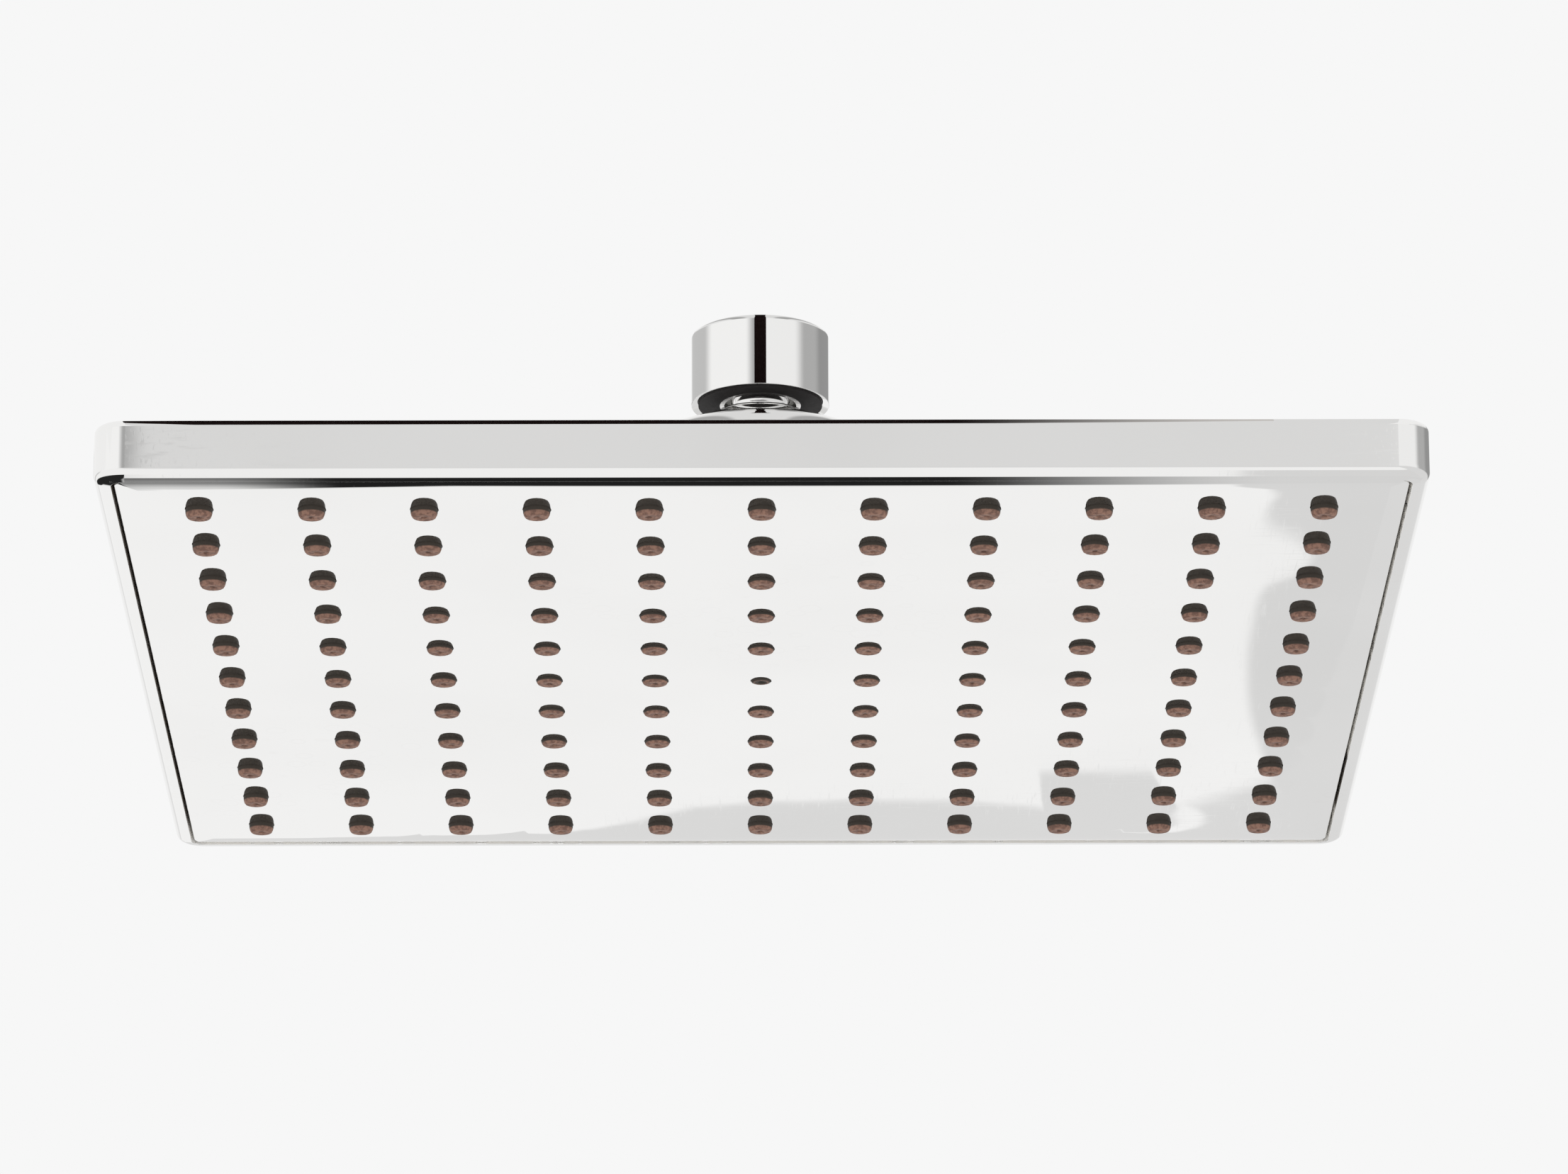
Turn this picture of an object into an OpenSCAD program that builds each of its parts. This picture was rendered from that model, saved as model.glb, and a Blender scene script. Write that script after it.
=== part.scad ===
/* [Plate] */
// Width and depth of the square head
plate_w = 250; // [248:1:270]
// Plan radius of the head's four corners
corner_r = 6; // [5:0.5:10]
// Height of the rim, from its lower edge to its upper edge
rim_h = 11.5; // [11:0.1:14]
// Rounding of the rim's lower edge
lower_edge_r = 2; // [1:0.1:2.4]
// Rounding of the rim's upper edge
upper_edge_r = 1.5; // [0.5:0.1:2]
// Distance from the outline to the middle of the seam round the face plate
seam_inset = 3.6; // [3:0.1:4.5]
// Width of the seam
seam_gap = 0.6; // [0.3:0.1:1]
// Wall thickness of the back cover
shell_t = 2.5; // [2:0.1:3]
// Thickness of the face plate at its edge
face_t = 2.6; // [2.2:0.1:3]
// How far the middle of the face plate stands below its edge
face_crown = 1.2; // [0.4:0.1:1.4]

/* [Nozzles] */
// Nozzles along each side of the grid
nozzle_n = 11; // [7:2:11]
// Distance between neighbouring nozzles
nozzle_pitch = 21.2; // [18:0.1:21.2]
// Diameter of a nozzle where it leaves the face plate
nozzle_d = 5.8; // [5:0.1:6.5]
// Diameter of a nozzle's tip
nozzle_tip_d = 4.9; // [4:0.1:5]
// How far the tips stand below the rim's lower edge
nozzle_reach = 1.9; // [1.7:0.1:3]
// Diameter of the water hole in a nozzle's tip
jet_d = 1.1; // [0.8:0.1:1.4]
// Diameter of the short nozzle in the middle
mid_nozzle_d = 4.4; // [4:0.1:5]
// Thickness of the silicone mat
mat_t = 1.5; // [1.2:0.1:2]

/* [Back] */
// Height of the pyramid's top above the rim's lower edge
pyramid_h = 47.3; // [44:0.1:48]
// How far the pyramid's faces are hollowed
face_hollow = 3.5; // [2:0.1:4]
// Radius of the round hub on the pyramid
hub_r = 24.5; // [24:0.5:28]
// Height of the hub's upper edge above the rim's lower edge
hub_h = 54.2; // [54:0.1:56]
// Slope of the hub's top, in degrees
hub_slope = 24.2; // [22:0.1:26]

/* [Swivel] */
// Diameter of the coupling nut
nut_d = 28; // [26:0.5:30]
// Height of the coupling nut
nut_h = 15; // [14.5:0.1:18]
// Diameter of the swivel ball
ball_d = 14; // [13.6:0.1:14]
// Diameter of the neck under the ball
neck_d = 10.4; // [9.6:0.1:10.6]
// Diameter of the stem's flange
flange_d = 19.6; // [19:0.1:20]
// Gap between the flange and the coupling nut
swivel_gap = 2.3; // [2.3:0.1:3]
// Major diameter of the inlet thread, a half-inch pipe thread
inlet_d = 20.955; // [20.955:0.001:21]

/* [Hidden] */
$fn = 96;

// Colours
chrome = [0.86, 0.87, 0.88];
silicone = [0.42, 0.34, 0.29];
white_plastic = [0.90, 0.90, 0.87];
acetal = [0.94, 0.93, 0.88];
black_rubber = [0.10, 0.10, 0.10];
brass = [0.78, 0.62, 0.30];
steel = [0.66, 0.67, 0.68];
blue_plastic = [0.20, 0.42, 0.66];

// Small sizes that several pieces share: a sunk joint, a running gap and an overshoot of a cut
eps = 0.01;
slip = 0.05;
cut = 1;
large_fn = 240;
small_fn = 32;

// Levels, from the nozzle tips up
face_z = nozzle_reach;
rim_top_z = face_z + rim_h;
face_top_z = face_z + face_t;
mat_top_z = face_top_z + mat_t;
diffuser_t = 2;
diffuser_top_z = mat_top_z + diffuser_t;
half_w = plate_w / 2;

// Plan sizes of what lies inside the rim
rim_inner_half = half_w - seam_inset + seam_gap / 2;
face_half = half_w - seam_inset - seam_gap / 2;
diffuser_margin = 3.7;
screw_margin = 3;
mat_margin = 3.4;
diffuser_half = face_half - diffuser_margin;
edge_screw_at = diffuser_half - screw_margin;
mat_half = edge_screw_at - mat_margin;
inner_corner_r = corner_r - seam_inset + seam_gap / 2;

// Rolled edge of the face plate
roll_w = 5.5;
roll_rise = 0.35;

// Snap fit between the face plate's skirt and the rim
skirt_t = 1.5;
skirt_h = 4.6;
hook_reach = 1.1;
hook_h = 1.6;
hook_len = 12;
hook_edge = 0.4;
hook_places = [-80, 0, 80];
hook_top_z = face_top_z + skirt_h;
catch_depth = 0.7;
catch_slack = 0.2;
catch_low_z = hook_top_z - hook_h - catch_slack;

// Pyramid back: the outer surface runs from the rim's upper land to the top
land_half = half_w - upper_edge_r - 0.5;
pyramid_top_half = 17;
pyramid_top_z = face_z + pyramid_h;
shell_set_in = 0.5;

// Hub
hub_top_z = face_z + hub_h;
hub_edge_r = 4;
flange_r = flange_d / 2;
recess_r = flange_r + 0.4;
recess_floor_z = hub_top_z - 1.1;
hub_roof_t = 3;
hub_roof_z = recess_floor_z - hub_roof_t;
hub_edge_z = hub_top_z - (hub_r - recess_r) * tan(hub_slope);
shank_r = 7.95;
shank_hole_r = shank_r + 0.25;

// Stem and swivel
washer_t = 0.5;
flange_t = 1.2;
flange_chamfer = 0.4;
flange_z = recess_floor_z + washer_t;
flange_top_z = flange_z + flange_t;
nut_z = flange_top_z + swivel_gap;
nut_top_z = nut_z + nut_h;
ball_r = ball_d / 2;
ball_up = 4.6;
ball_z = nut_z + ball_up;
ball_cut = 2;
neck_r = neck_d / 2;
neck_top_z = ball_z - 4;
stem_bore_r = 3.5;
key_r = 4.2;
key_depth = 3;

// Swivel socket inside the nut
liner_t = 0.75;
liner_r = ball_r + slip + liner_t;
socket_r = liner_r + slip;
wiper_t = 0.5;
wiper_r = 12.6;
lip_t = 0.9;
lip_top = wiper_t + lip_t;
cavity_r = 9.3;
lip_bore_r = socket_r - 0.55;
seat_low = -(ball_up - lip_top);
seat_high = -0.9;
liner_low = -3.7;
liner_high = 1.4;
o_ring_at = -0.1;
gland_low = 0.65;
gland_high = 3.4;
ledge_z = ball_z + gland_high;
nut_low_r = 1.3;
nut_top_r = 1;
nut_mouth = 0.6;
washer_h = 1.2;
relief_depth = 0.3;
relief_h = washer_h + 0.1;
washer_bore_r = 6.2;
filter_up = 0.3;
filter_rim_r = 5.5;
filter_rim_h = 0.7;
filter_wire = 0.5;
filter_step = 1.5;

// Water chamber, its tower and the stem in it
chamber_margin = 5.8;
chamber_half = edge_screw_at - chamber_margin;
chamber_h = 2.9;
chamber_wall = 2;
chamber_side = 1.5;
chamber_corner_r = 2;
chamber_top_z = diffuser_top_z + chamber_h + chamber_wall;
flange_plate_t = 2;
gasket_w = 1.6;
gasket_h = 1;
gasket_half = chamber_half + 0.6;
rib_t = 2;
rib_count = 8;
rib_reach = 84;
rib_foot = 1.5;
rib_slope = 6;
rib_top_z = chamber_top_z + 26;
tower_r = 11.8;
tower_bore_r = 7.4;
insert_r = 9.6;
insert_bore_r = shank_r + slip;
insert_low_z = hub_roof_z - 15;
nose_r = 6.6;
nose_z = insert_low_z - 6.5;
shank_low_z = insert_low_z + 0.5;
groove_z = nose_z + 3;
groove_w = 2.6;
groove_r = 5.1;
shank_bore_r = 4.4;
shank_chamfer = 1;
limiter_r = 4.3;
limiter_h = 5;
limiter_cup_r = 3.2;
limiter_floor = 2;
limiter_jet_r = 1.2;
limiter_hole_r = 0.5;
limiter_hole_at = 2.3;

// Nozzles: the fine jet, the way in to it, the tip's rounding and the short nozzle's tip
jet_len = 1.1;
way_in_r = 1.5;
tip_edge = 0.35;
mid_tip_z = 0.35;

// Screws
screw_r = 1.25;
screw_head_r = 2.7;
screw_head_h = 1.5;
screw_slot = [3.2, 0.8, 0.9];
boss_r = 3;
hole_r = screw_r + 0.2;
feed_r = 1.4;
screw_rows = [-4.5, -1.5, 1.5, 4.5];
screw_tip_z = face_z + 1;

nozzle_places = [for (i = [0:nozzle_n - 1], j = [0:nozzle_n - 1])
    nozzle_pitch * [i - (nozzle_n - 1) / 2, j - (nozzle_n - 1) / 2]];
inner_places = [for (i = screw_rows, j = screw_rows) nozzle_pitch * [i, j]];
edge_places = [for (i = screw_rows, side = [-1, 1]) each
    [[nozzle_pitch * i, side * edge_screw_at], [side * edge_screw_at, nozzle_pitch * i]]];
screw_places = concat(inner_places, edge_places);

// A square with round corners, centred
module rounded_square(w, r) {
    difference() {
        square(w, center = true);
        for (x = [-1, 1], y = [-1, 1]) {
            scale([x, y]) translate([w / 2 - r, w / 2 - r]) difference() {
                square(r + cut);
                circle(r);
            }
        }
    }
}

// Half of a plate's section, from the axis out to reach, with both outer edges rounded
module edge_section(reach, h, low_r, top_r) {
    square([reach - low_r, h - top_r]);
    translate([0, low_r]) square([reach, h - low_r - top_r]);
    translate([0, low_r]) square([reach - top_r, h - low_r]);
    translate([reach - low_r, low_r]) circle(low_r, $fn = small_fn);
    translate([reach - top_r, h - top_r]) circle(top_r, $fn = small_fn);
}

// A square block with round corners in plan and rounded lower and upper edges
module soft_block(w, r, h, low_r, top_r) {
    for (turn = [0, 90]) {
        rotate([90, 0, turn]) linear_extrude(w - 2 * r, center = true) {
            edge_section(w / 2, h, low_r, top_r);
            mirror([1, 0]) edge_section(w / 2, h, low_r, top_r);
        }
    }
    for (x = [-1, 1], y = [-1, 1]) {
        translate([x * (w / 2 - r), y * (w / 2 - r), 0])
            rotate_extrude() edge_section(r, h, low_r, top_r);
    }
}

// The half section of a hollow-faced pyramid: a straight flank from the edge to the top,
// with a shallow arc of the given depth cut out of it
module flank_section(edge_half, edge_z, top_half, top_z, low_z, depth) {
    run = edge_half - top_half;
    rise = top_z - edge_z;
    chord = sqrt(run * run + rise * rise);
    arc_r = (chord * chord / 4 + depth * depth) / (2 * depth);
    middle = [(edge_half + top_half) / 2, (edge_z + top_z) / 2];
    outward = [rise, run] / chord;
    difference() {
        polygon([[0, low_z], [edge_half, low_z], [edge_half, edge_z], [top_half, top_z], [0, top_z]]);
        translate(middle + outward * (arc_r - depth)) circle(arc_r, $fn = large_fn);
    }
}

// A pyramid with a square plan and hollow faces: the same section run both ways
module hollow_pyramid(edge_half, edge_z, top_half, top_z, low_z, depth) {
    intersection_for (turn = [0, 90]) {
        rotate([90, 0, turn]) linear_extrude(2 * edge_half + cut, center = true) {
            flank_section(edge_half, edge_z, top_half, top_z, low_z, depth);
            mirror([1, 0]) flank_section(edge_half, edge_z, top_half, top_z, low_z, depth);
        }
    }
}

// The hub's outer form: a shallow cone that rounds over into a straight side
module hub_body() {
    shoulder_x = hub_r - hub_edge_r;
    shoulder_z = hub_top_z - (shoulder_x - recess_r) * tan(hub_slope) - hub_edge_r / cos(hub_slope);
    rotate_extrude() {
        polygon([[0, rim_top_z], [hub_r, rim_top_z], [hub_r, shoulder_z],
                 [shoulder_x + hub_edge_r * sin(hub_slope), shoulder_z + hub_edge_r * cos(hub_slope)],
                 [recess_r, hub_top_z], [0, hub_top_z]]);
        translate([shoulder_x, shoulder_z]) circle(hub_edge_r);
    }
}

// The space under the hub's roof: a straight bore that narrows to just over the tower
module hub_space() {
    side_r = hub_r - shell_t;
    neck_r = tower_r + 0.6;
    side_z = hub_edge_z - 1.5 * shell_t;
    rotate_extrude() polygon([
        [0, 0], [side_r, 0], [side_r, side_z], [neck_r, hub_roof_z], [0, hub_roof_z]]);
}

module back_cover() {
    ceiling_z = rim_top_z - shell_t;
    color(chrome) difference() {
        union() {
            translate([0, 0, face_z])
                soft_block(plate_w, corner_r, rim_h, lower_edge_r, upper_edge_r);
            intersection() {
                hollow_pyramid(land_half, rim_top_z, pyramid_top_half, pyramid_top_z,
                               rim_top_z - upper_edge_r, face_hollow);
                linear_extrude(pyramid_top_z + cut) rounded_square(2 * land_half, corner_r - 1);
            }
            hub_body();
        }
        translate([0, 0, face_z - cut])
            linear_extrude(ceiling_z - face_z + cut) rounded_square(2 * rim_inner_half, inner_corner_r);
        translate([0, 0, catch_low_z]) linear_extrude(hook_h + 2 * catch_slack)
            rounded_square(2 * (rim_inner_half + catch_depth), inner_corner_r);
        hollow_pyramid(rim_inner_half - shell_set_in, ceiling_z, pyramid_top_half - 2 * shell_set_in,
                       pyramid_top_z - shell_t - shell_set_in, ceiling_z - cut, face_hollow);
        hub_space();
        cylinder(r = shank_hole_r, h = hub_top_z + cut);
        translate([0, 0, recess_floor_z]) cylinder(r = recess_r, h = 2 * cut);
    }
}

// Height of the face plate's visible side at a distance from the middle: a shallow arc,
// with the last few millimetres rolled up
function face_height(x) =
    face_z - face_crown * (1 - pow(x / face_half, 2))
    + roll_rise * pow(max(0, (abs(x) - face_half + roll_w) / roll_w), 2);

// The crown of the face plate: the same section run both ways, in flat strips
module crowned_slab() {
    strips = 6;
    roll_strips = 3;
    flat_half = face_half - roll_w;
    places = [for (k = [0:strips - 1]) k * flat_half / strips,
              for (k = [0:roll_strips]) flat_half + k * roll_w / roll_strips];
    half_arc = [for (x = places) [x, face_height(x)]];
    arc = concat([for (k = [len(places) - 1:-1:1]) [-half_arc[k].x, half_arc[k].y]], half_arc);
    intersection_for (turn = [0, 90]) {
        rotate([90, 0, turn]) linear_extrude(2 * face_half + cut, center = true)
            polygon(concat(arc, [[face_half, face_top_z], [-face_half, face_top_z]]));
    }
}

// A hook on the skirt's outer side, its catching face down
module snap_hook() {
    root = face_half - skirt_t / 2;
    tip = face_half + hook_reach;
    low_z = hook_top_z - hook_h;
    rotate([90, 0, 0]) linear_extrude(hook_len, center = true) polygon([
        [root, low_z], [tip, low_z], [tip, low_z + hook_edge], [face_half, hook_top_z], [root, hook_top_z]]);
}

module face_plate() {
    color(chrome) difference() {
        union() {
            intersection() {
                crowned_slab();
                linear_extrude(face_top_z + cut) difference() {
                    rounded_square(2 * face_half, inner_corner_r);
                    for (p = nozzle_places) {
                        r = (p == [0, 0] ? mid_nozzle_d : nozzle_d) / 2 + slip;
                        translate(p) circle(r, $fn = small_fn);
                    }
                }
            }
            translate([0, 0, face_top_z - eps]) linear_extrude(skirt_h + eps) difference() {
                rounded_square(2 * face_half, inner_corner_r);
                rounded_square(2 * (face_half - skirt_t), inner_corner_r - skirt_t / 2);
            }
            for (turn = [0:90:270], y = hook_places) {
                rotate([0, 0, turn]) translate([0, y, 0]) snap_hook();
            }
            for (p = screw_places) {
                translate([p.x, p.y, face_top_z - eps])
                    cylinder(r = boss_r, h = mat_t + eps, $fn = small_fn);
            }
        }
        for (p = screw_places) {
            translate([p.x, p.y, screw_tip_z - slip])
                cylinder(r = screw_r, h = mat_top_z, $fn = small_fn);
        }
    }
}

// One nozzle: a tapered nipple with a wide way in and a fine jet at its tip
module nozzle(d, tip_d, tip_z) {
    tip_r = tip_d / 2;
    jet_top_z = tip_z + jet_len;
    rotate_extrude($fn = small_fn) polygon([
        [jet_d / 2, tip_z], [tip_r - tip_edge, tip_z], [tip_r, tip_z + tip_edge],
        [d / 2, face_z], [d / 2, face_top_z], [way_in_r, face_top_z],
        [way_in_r, jet_top_z + way_in_r - jet_d / 2], [jet_d / 2, jet_top_z]]);
}

module nozzle_mat() {
    color(silicone) {
        translate([0, 0, face_top_z]) linear_extrude(mat_t) difference() {
            rounded_square(2 * mat_half, inner_corner_r);
            for (p = nozzle_places) translate(p) circle(way_in_r, $fn = small_fn);
            for (p = inner_places) translate(p) circle(boss_r + 0.2, $fn = small_fn);
        }
        for (p = nozzle_places) {
            translate(p) {
                if (p == [0, 0]) nozzle(mid_nozzle_d, mid_nozzle_d - 0.6, mid_tip_z);
                else nozzle(nozzle_d, nozzle_tip_d, 0);
            }
        }
    }
}

module diffuser_plate() {
    color(white_plastic) translate([0, 0, mat_top_z]) linear_extrude(diffuser_t) difference() {
        rounded_square(2 * diffuser_half, inner_corner_r);
        for (p = nozzle_places) translate(p) circle(feed_r, $fn = small_fn);
        for (p = screw_places) translate(p) circle(hole_r, $fn = small_fn);
    }
}

// A pan-head screw with a cross slot, its head's underside at head_z
module screw(head_z) {
    difference() {
        union() {
            translate([0, 0, screw_tip_z])
                cylinder(r = screw_r - slip, h = head_z - screw_tip_z + eps, $fn = small_fn);
            translate([0, 0, head_z])
                cylinder(r1 = screw_head_r, r2 = screw_head_r - 0.6, h = screw_head_h, $fn = small_fn);
        }
        for (turn = [0, 90]) {
            rotate([0, 0, turn]) translate([0, 0, head_z + screw_head_h])
                cube([screw_slot.x, screw_slot.y, 2 * screw_slot.z], center = true);
        }
    }
}

module plate_screws() {
    color(steel) for (p = inner_places) translate(p) screw(diffuser_top_z);
}

module cover_screws() {
    color(steel) for (p = edge_places) translate(p) screw(diffuser_top_z + flange_plate_t);
}

// A square ring with round corners
module square_ring(inner_half, w, h, r) {
    linear_extrude(h) difference() {
        rounded_square(2 * (inner_half + w), r + w / 2);
        rounded_square(2 * inner_half, r);
    }
}

module chamber_gasket() {
    color(black_rubber) translate([0, 0, diffuser_top_z])
        square_ring(gasket_half, gasket_w, gasket_h, chamber_corner_r);
}

// One of the ribs that hold the tower upright
module tower_rib() {
    foot_z = chamber_top_z - cut;
    rotate([90, 0, 0]) linear_extrude(rib_t, center = true) polygon([
        [0, foot_z], [rib_reach, foot_z], [rib_reach, chamber_top_z + rib_foot],
        [tower_r + rib_slope, rib_top_z - rib_slope], [tower_r, rib_top_z], [0, rib_top_z]]);
}

module chamber_cover() {
    color(white_plastic) difference() {
        union() {
            translate([0, 0, diffuser_top_z]) {
                linear_extrude(flange_plate_t) rounded_square(2 * diffuser_half, inner_corner_r);
                linear_extrude(chamber_h + chamber_wall)
                    rounded_square(2 * (chamber_half + chamber_side), chamber_corner_r + chamber_side);
                cylinder(r = tower_r, h = hub_roof_z - diffuser_top_z);
            }
            for (k = [0:rib_count - 1]) rotate([0, 0, k * 360 / rib_count]) tower_rib();
        }
        translate([0, 0, diffuser_top_z - cut])
            linear_extrude(chamber_h + cut) rounded_square(2 * chamber_half, chamber_corner_r);
        translate([0, 0, diffuser_top_z - cut])
            square_ring(gasket_half - slip, gasket_w + 2 * slip, gasket_h + slip + cut, chamber_corner_r);
        cylinder(r = tower_bore_r, h = hub_roof_z + cut);
        translate([0, 0, insert_low_z]) cylinder(r = insert_r, h = hub_roof_z);
        for (p = edge_places) {
            translate([p.x, p.y, diffuser_top_z - cut])
                cylinder(r = hole_r, h = flange_plate_t + 2 * cut, $fn = small_fn);
        }
    }
}

module thread_insert() {
    step = 3.6;
    notch_depth = 0.4;
    notch_h = 0.9;
    color(brass) translate([0, 0, insert_low_z]) rotate_extrude() difference() {
        translate([insert_bore_r, 0]) square([insert_r - insert_bore_r, hub_roof_z - insert_low_z]);
        for (k = [1:3]) translate([insert_r - notch_depth, k * step]) square([cut, notch_h]);
    }
}

module stem_o_ring() {
    ring_r = (tower_bore_r - groove_r) / 2 - 0.02;
    color(black_rubber) rotate_extrude()
        translate([(tower_bore_r + groove_r) / 2, groove_z + groove_w / 2]) circle(ring_r, $fn = small_fn);
}

module flow_limiter() {
    color(blue_plastic) translate([0, 0, nose_z]) difference() {
        cylinder(r = limiter_r, h = limiter_h);
        translate([0, 0, limiter_floor]) cylinder(r = limiter_cup_r, h = limiter_h);
        translate([0, 0, -cut]) {
            cylinder(r = limiter_jet_r, h = limiter_h, $fn = small_fn);
            for (k = [0:5]) {
                rotate([0, 0, k * 60]) translate([limiter_hole_at, 0, 0])
                    cylinder(r = limiter_hole_r, h = limiter_h, $fn = small_fn);
            }
        }
    }
}

module flange_washer() {
    color(black_rubber) translate([0, 0, recess_floor_z]) difference() {
        cylinder(r = flange_r - 0.2, h = washer_t);
        translate([0, 0, -cut]) cylinder(r = shank_hole_r, h = washer_t + 2 * cut);
    }
}

module ball_stem() {
    color(chrome) difference() {
        union() {
            intersection() {
                translate([0, 0, ball_z]) sphere(ball_r);
                translate([0, 0, ball_z - ball_r]) cylinder(r = ball_d, h = ball_r + ball_cut);
            }
            rotate_extrude() polygon([
                [0, nose_z], [nose_r - 0.5, nose_z], [nose_r, nose_z + 0.5], [nose_r, groove_z],
                [groove_r, groove_z], [groove_r, groove_z + groove_w], [nose_r, groove_z + groove_w],
                [nose_r, shank_low_z], [shank_r - shank_chamfer, shank_low_z],
                [shank_r, shank_low_z + shank_chamfer], [shank_r, flange_z], [flange_r, flange_z],
                [flange_r, flange_top_z - flange_chamfer], [flange_r - flange_chamfer, flange_top_z],
                [neck_r, flange_top_z], [neck_r, neck_top_z], [0, neck_top_z]]);
        }
        translate([0, 0, nose_z - cut]) {
            cylinder(r = stem_bore_r, h = ball_z - nose_z + ball_r);
            cylinder(r = shank_bore_r, h = flange_z - nose_z - 1);
        }
        translate([0, 0, ball_z + ball_cut - key_depth]) cylinder(r = key_r, h = key_depth + cut, $fn = 6);
    }
}

// A ring about the ball's centre, cut out of a spherical shell between two levels
module ball_band(inner_r, outer_r, low, high) {
    translate([0, 0, ball_z]) difference() {
        intersection() {
            sphere(outer_r);
            translate([0, 0, low]) cylinder(r = outer_r + cut, h = high - low);
        }
        sphere(inner_r);
    }
}

module ball_liner() {
    color(white_plastic) ball_band(ball_r + slip, liner_r, liner_low, liner_high);
}

module seat_ring() {
    color(acetal) translate([0, 0, ball_z]) difference() {
        translate([0, 0, seat_low]) cylinder(r = cavity_r - slip, h = seat_high - seat_low);
        sphere(socket_r);
    }
}

module liner_o_ring() {
    ring_r = (cavity_r - liner_r) / 2 - 0.03;
    color(black_rubber) translate([0, 0, ball_z + o_ring_at]) rotate_extrude()
        translate([(cavity_r + liner_r) / 2, 0]) circle(ring_r, $fn = small_fn);
}

module compression_ring() {
    color(acetal) translate([0, 0, ball_z + gland_low]) difference() {
        cylinder(r = cavity_r - slip, h = gland_high - gland_low);
        translate([0, 0, -cut]) cylinder(r = liner_r + 0.2, h = gland_high - gland_low + 2 * cut);
    }
}

module inlet_washer() {
    color(black_rubber) translate([0, 0, ledge_z]) difference() {
        cylinder(r = inlet_d / 2 - 0.3, h = washer_h);
        translate([0, 0, -cut]) cylinder(r = washer_bore_r, h = washer_h + 2 * cut);
    }
}

module inlet_filter() {
    wires = floor(filter_rim_r / filter_step);
    color(steel) translate([0, 0, ledge_z + filter_up]) {
        difference() {
            cylinder(r = washer_bore_r - slip, h = filter_rim_h);
            translate([0, 0, -cut]) cylinder(r = filter_rim_r, h = filter_rim_h + 2 * cut);
        }
        intersection() {
            cylinder(r = filter_rim_r + slip, h = filter_wire);
            for (turn = [0, 90], k = [-wires:wires]) {
                rotate([0, 0, turn]) translate([k * filter_step - filter_wire / 2, -filter_rim_r - cut, 0])
                    cube([filter_wire, 2 * (filter_rim_r + cut), filter_wire]);
            }
        }
    }
}

// The rubber ring let into the nut's underside, which keeps lime and dirt out of the joint
module wiper_ring() {
    color(black_rubber) translate([0, 0, nut_z]) difference() {
        cylinder(r = wiper_r - slip, h = wiper_t);
        translate([0, 0, -cut]) cylinder(r = lip_bore_r, h = wiper_t + 2 * cut);
    }
}

module swivel_nut() {
    bore_r = inlet_d / 2;
    color(chrome) difference() {
        translate([0, 0, nut_z]) rotate_extrude() edge_section(nut_d / 2, nut_h, nut_low_r, nut_top_r);
        translate([0, 0, nut_z - cut]) cylinder(r = lip_bore_r, h = nut_h);
        translate([0, 0, nut_z - cut]) cylinder(r = wiper_r, h = wiper_t + cut);
        translate([0, 0, nut_z + lip_top]) cylinder(r = cavity_r, h = nut_h);
        translate([0, 0, ledge_z]) cylinder(r = bore_r + relief_depth, h = relief_h);
        translate([0, 0, ledge_z]) cylinder(r = bore_r, h = nut_h);
        translate([0, 0, nut_top_z - nut_mouth])
            cylinder(r1 = bore_r, r2 = bore_r + 2 * nut_mouth, h = 2 * nut_mouth);
    }
}

back_cover();
face_plate();
nozzle_mat();
diffuser_plate();
plate_screws();
chamber_gasket();
chamber_cover();
cover_screws();
thread_insert();
stem_o_ring();
flow_limiter();
flange_washer();
ball_stem();
ball_liner();
seat_ring();
liner_o_ring();
compression_ring();
inlet_washer();
inlet_filter();
wiper_ring();
swivel_nut();
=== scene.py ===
import math

import bmesh
import bpy
import numpy as np
from mathutils import Matrix, Vector


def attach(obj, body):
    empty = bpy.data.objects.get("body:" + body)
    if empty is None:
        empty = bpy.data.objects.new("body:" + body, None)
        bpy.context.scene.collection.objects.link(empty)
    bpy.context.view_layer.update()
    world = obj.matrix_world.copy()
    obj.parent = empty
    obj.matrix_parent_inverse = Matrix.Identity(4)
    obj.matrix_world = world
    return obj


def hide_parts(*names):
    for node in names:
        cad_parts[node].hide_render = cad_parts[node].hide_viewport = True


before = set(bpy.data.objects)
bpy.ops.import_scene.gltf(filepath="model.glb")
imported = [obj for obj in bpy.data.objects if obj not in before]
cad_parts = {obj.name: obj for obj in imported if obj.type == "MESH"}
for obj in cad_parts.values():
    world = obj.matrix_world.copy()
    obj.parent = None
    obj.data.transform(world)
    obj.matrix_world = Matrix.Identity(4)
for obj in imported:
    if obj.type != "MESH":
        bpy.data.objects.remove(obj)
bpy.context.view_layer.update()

# A square rain shower head. Its sizes are millimetres in the model's own frame: z = 0 is the plane of
# the nozzle tips and +Z runs up through the swivel and its inlet. Materials and studio use metres.
MM = 0.001

# Rim, face plate and nozzles, as in the solids, but with slightly thinner nozzles
HALF = 125.0
CORNER_R = 6.0
EDGE_Z = 1.9
RIM_TOP_Z = 13.4
LOWER_R = 2.0
UPPER_R = 1.5
RIM_INNER_HALF = 121.7
RIM_INNER_CORNER_R = 2.7
CEILING_Z = 10.9
FACE_HALF = 121.1
FACE_CORNER_R = 2.7
FACE_TOP_Z = 4.5
CROWN = 1.2
ROLL_W = 5.5
ROLL_RISE = 0.35
SKIRT_TOP_Z = 9.1
SKIRT_HALF = 119.6
PITCH = 21.2
GRID_N = 11
CELL_SIDE = 4
MAT_HALF = 111.0
MAT_TOP_Z = 6.0
NOZZLE_R = 2.6
TIP_R = 2.2
MID_NOZZLE_R = 2.0
MID_TIP_R = 1.7
MID_TIP_Z = 0.35
HOLE_SLIP = 0.05

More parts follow.
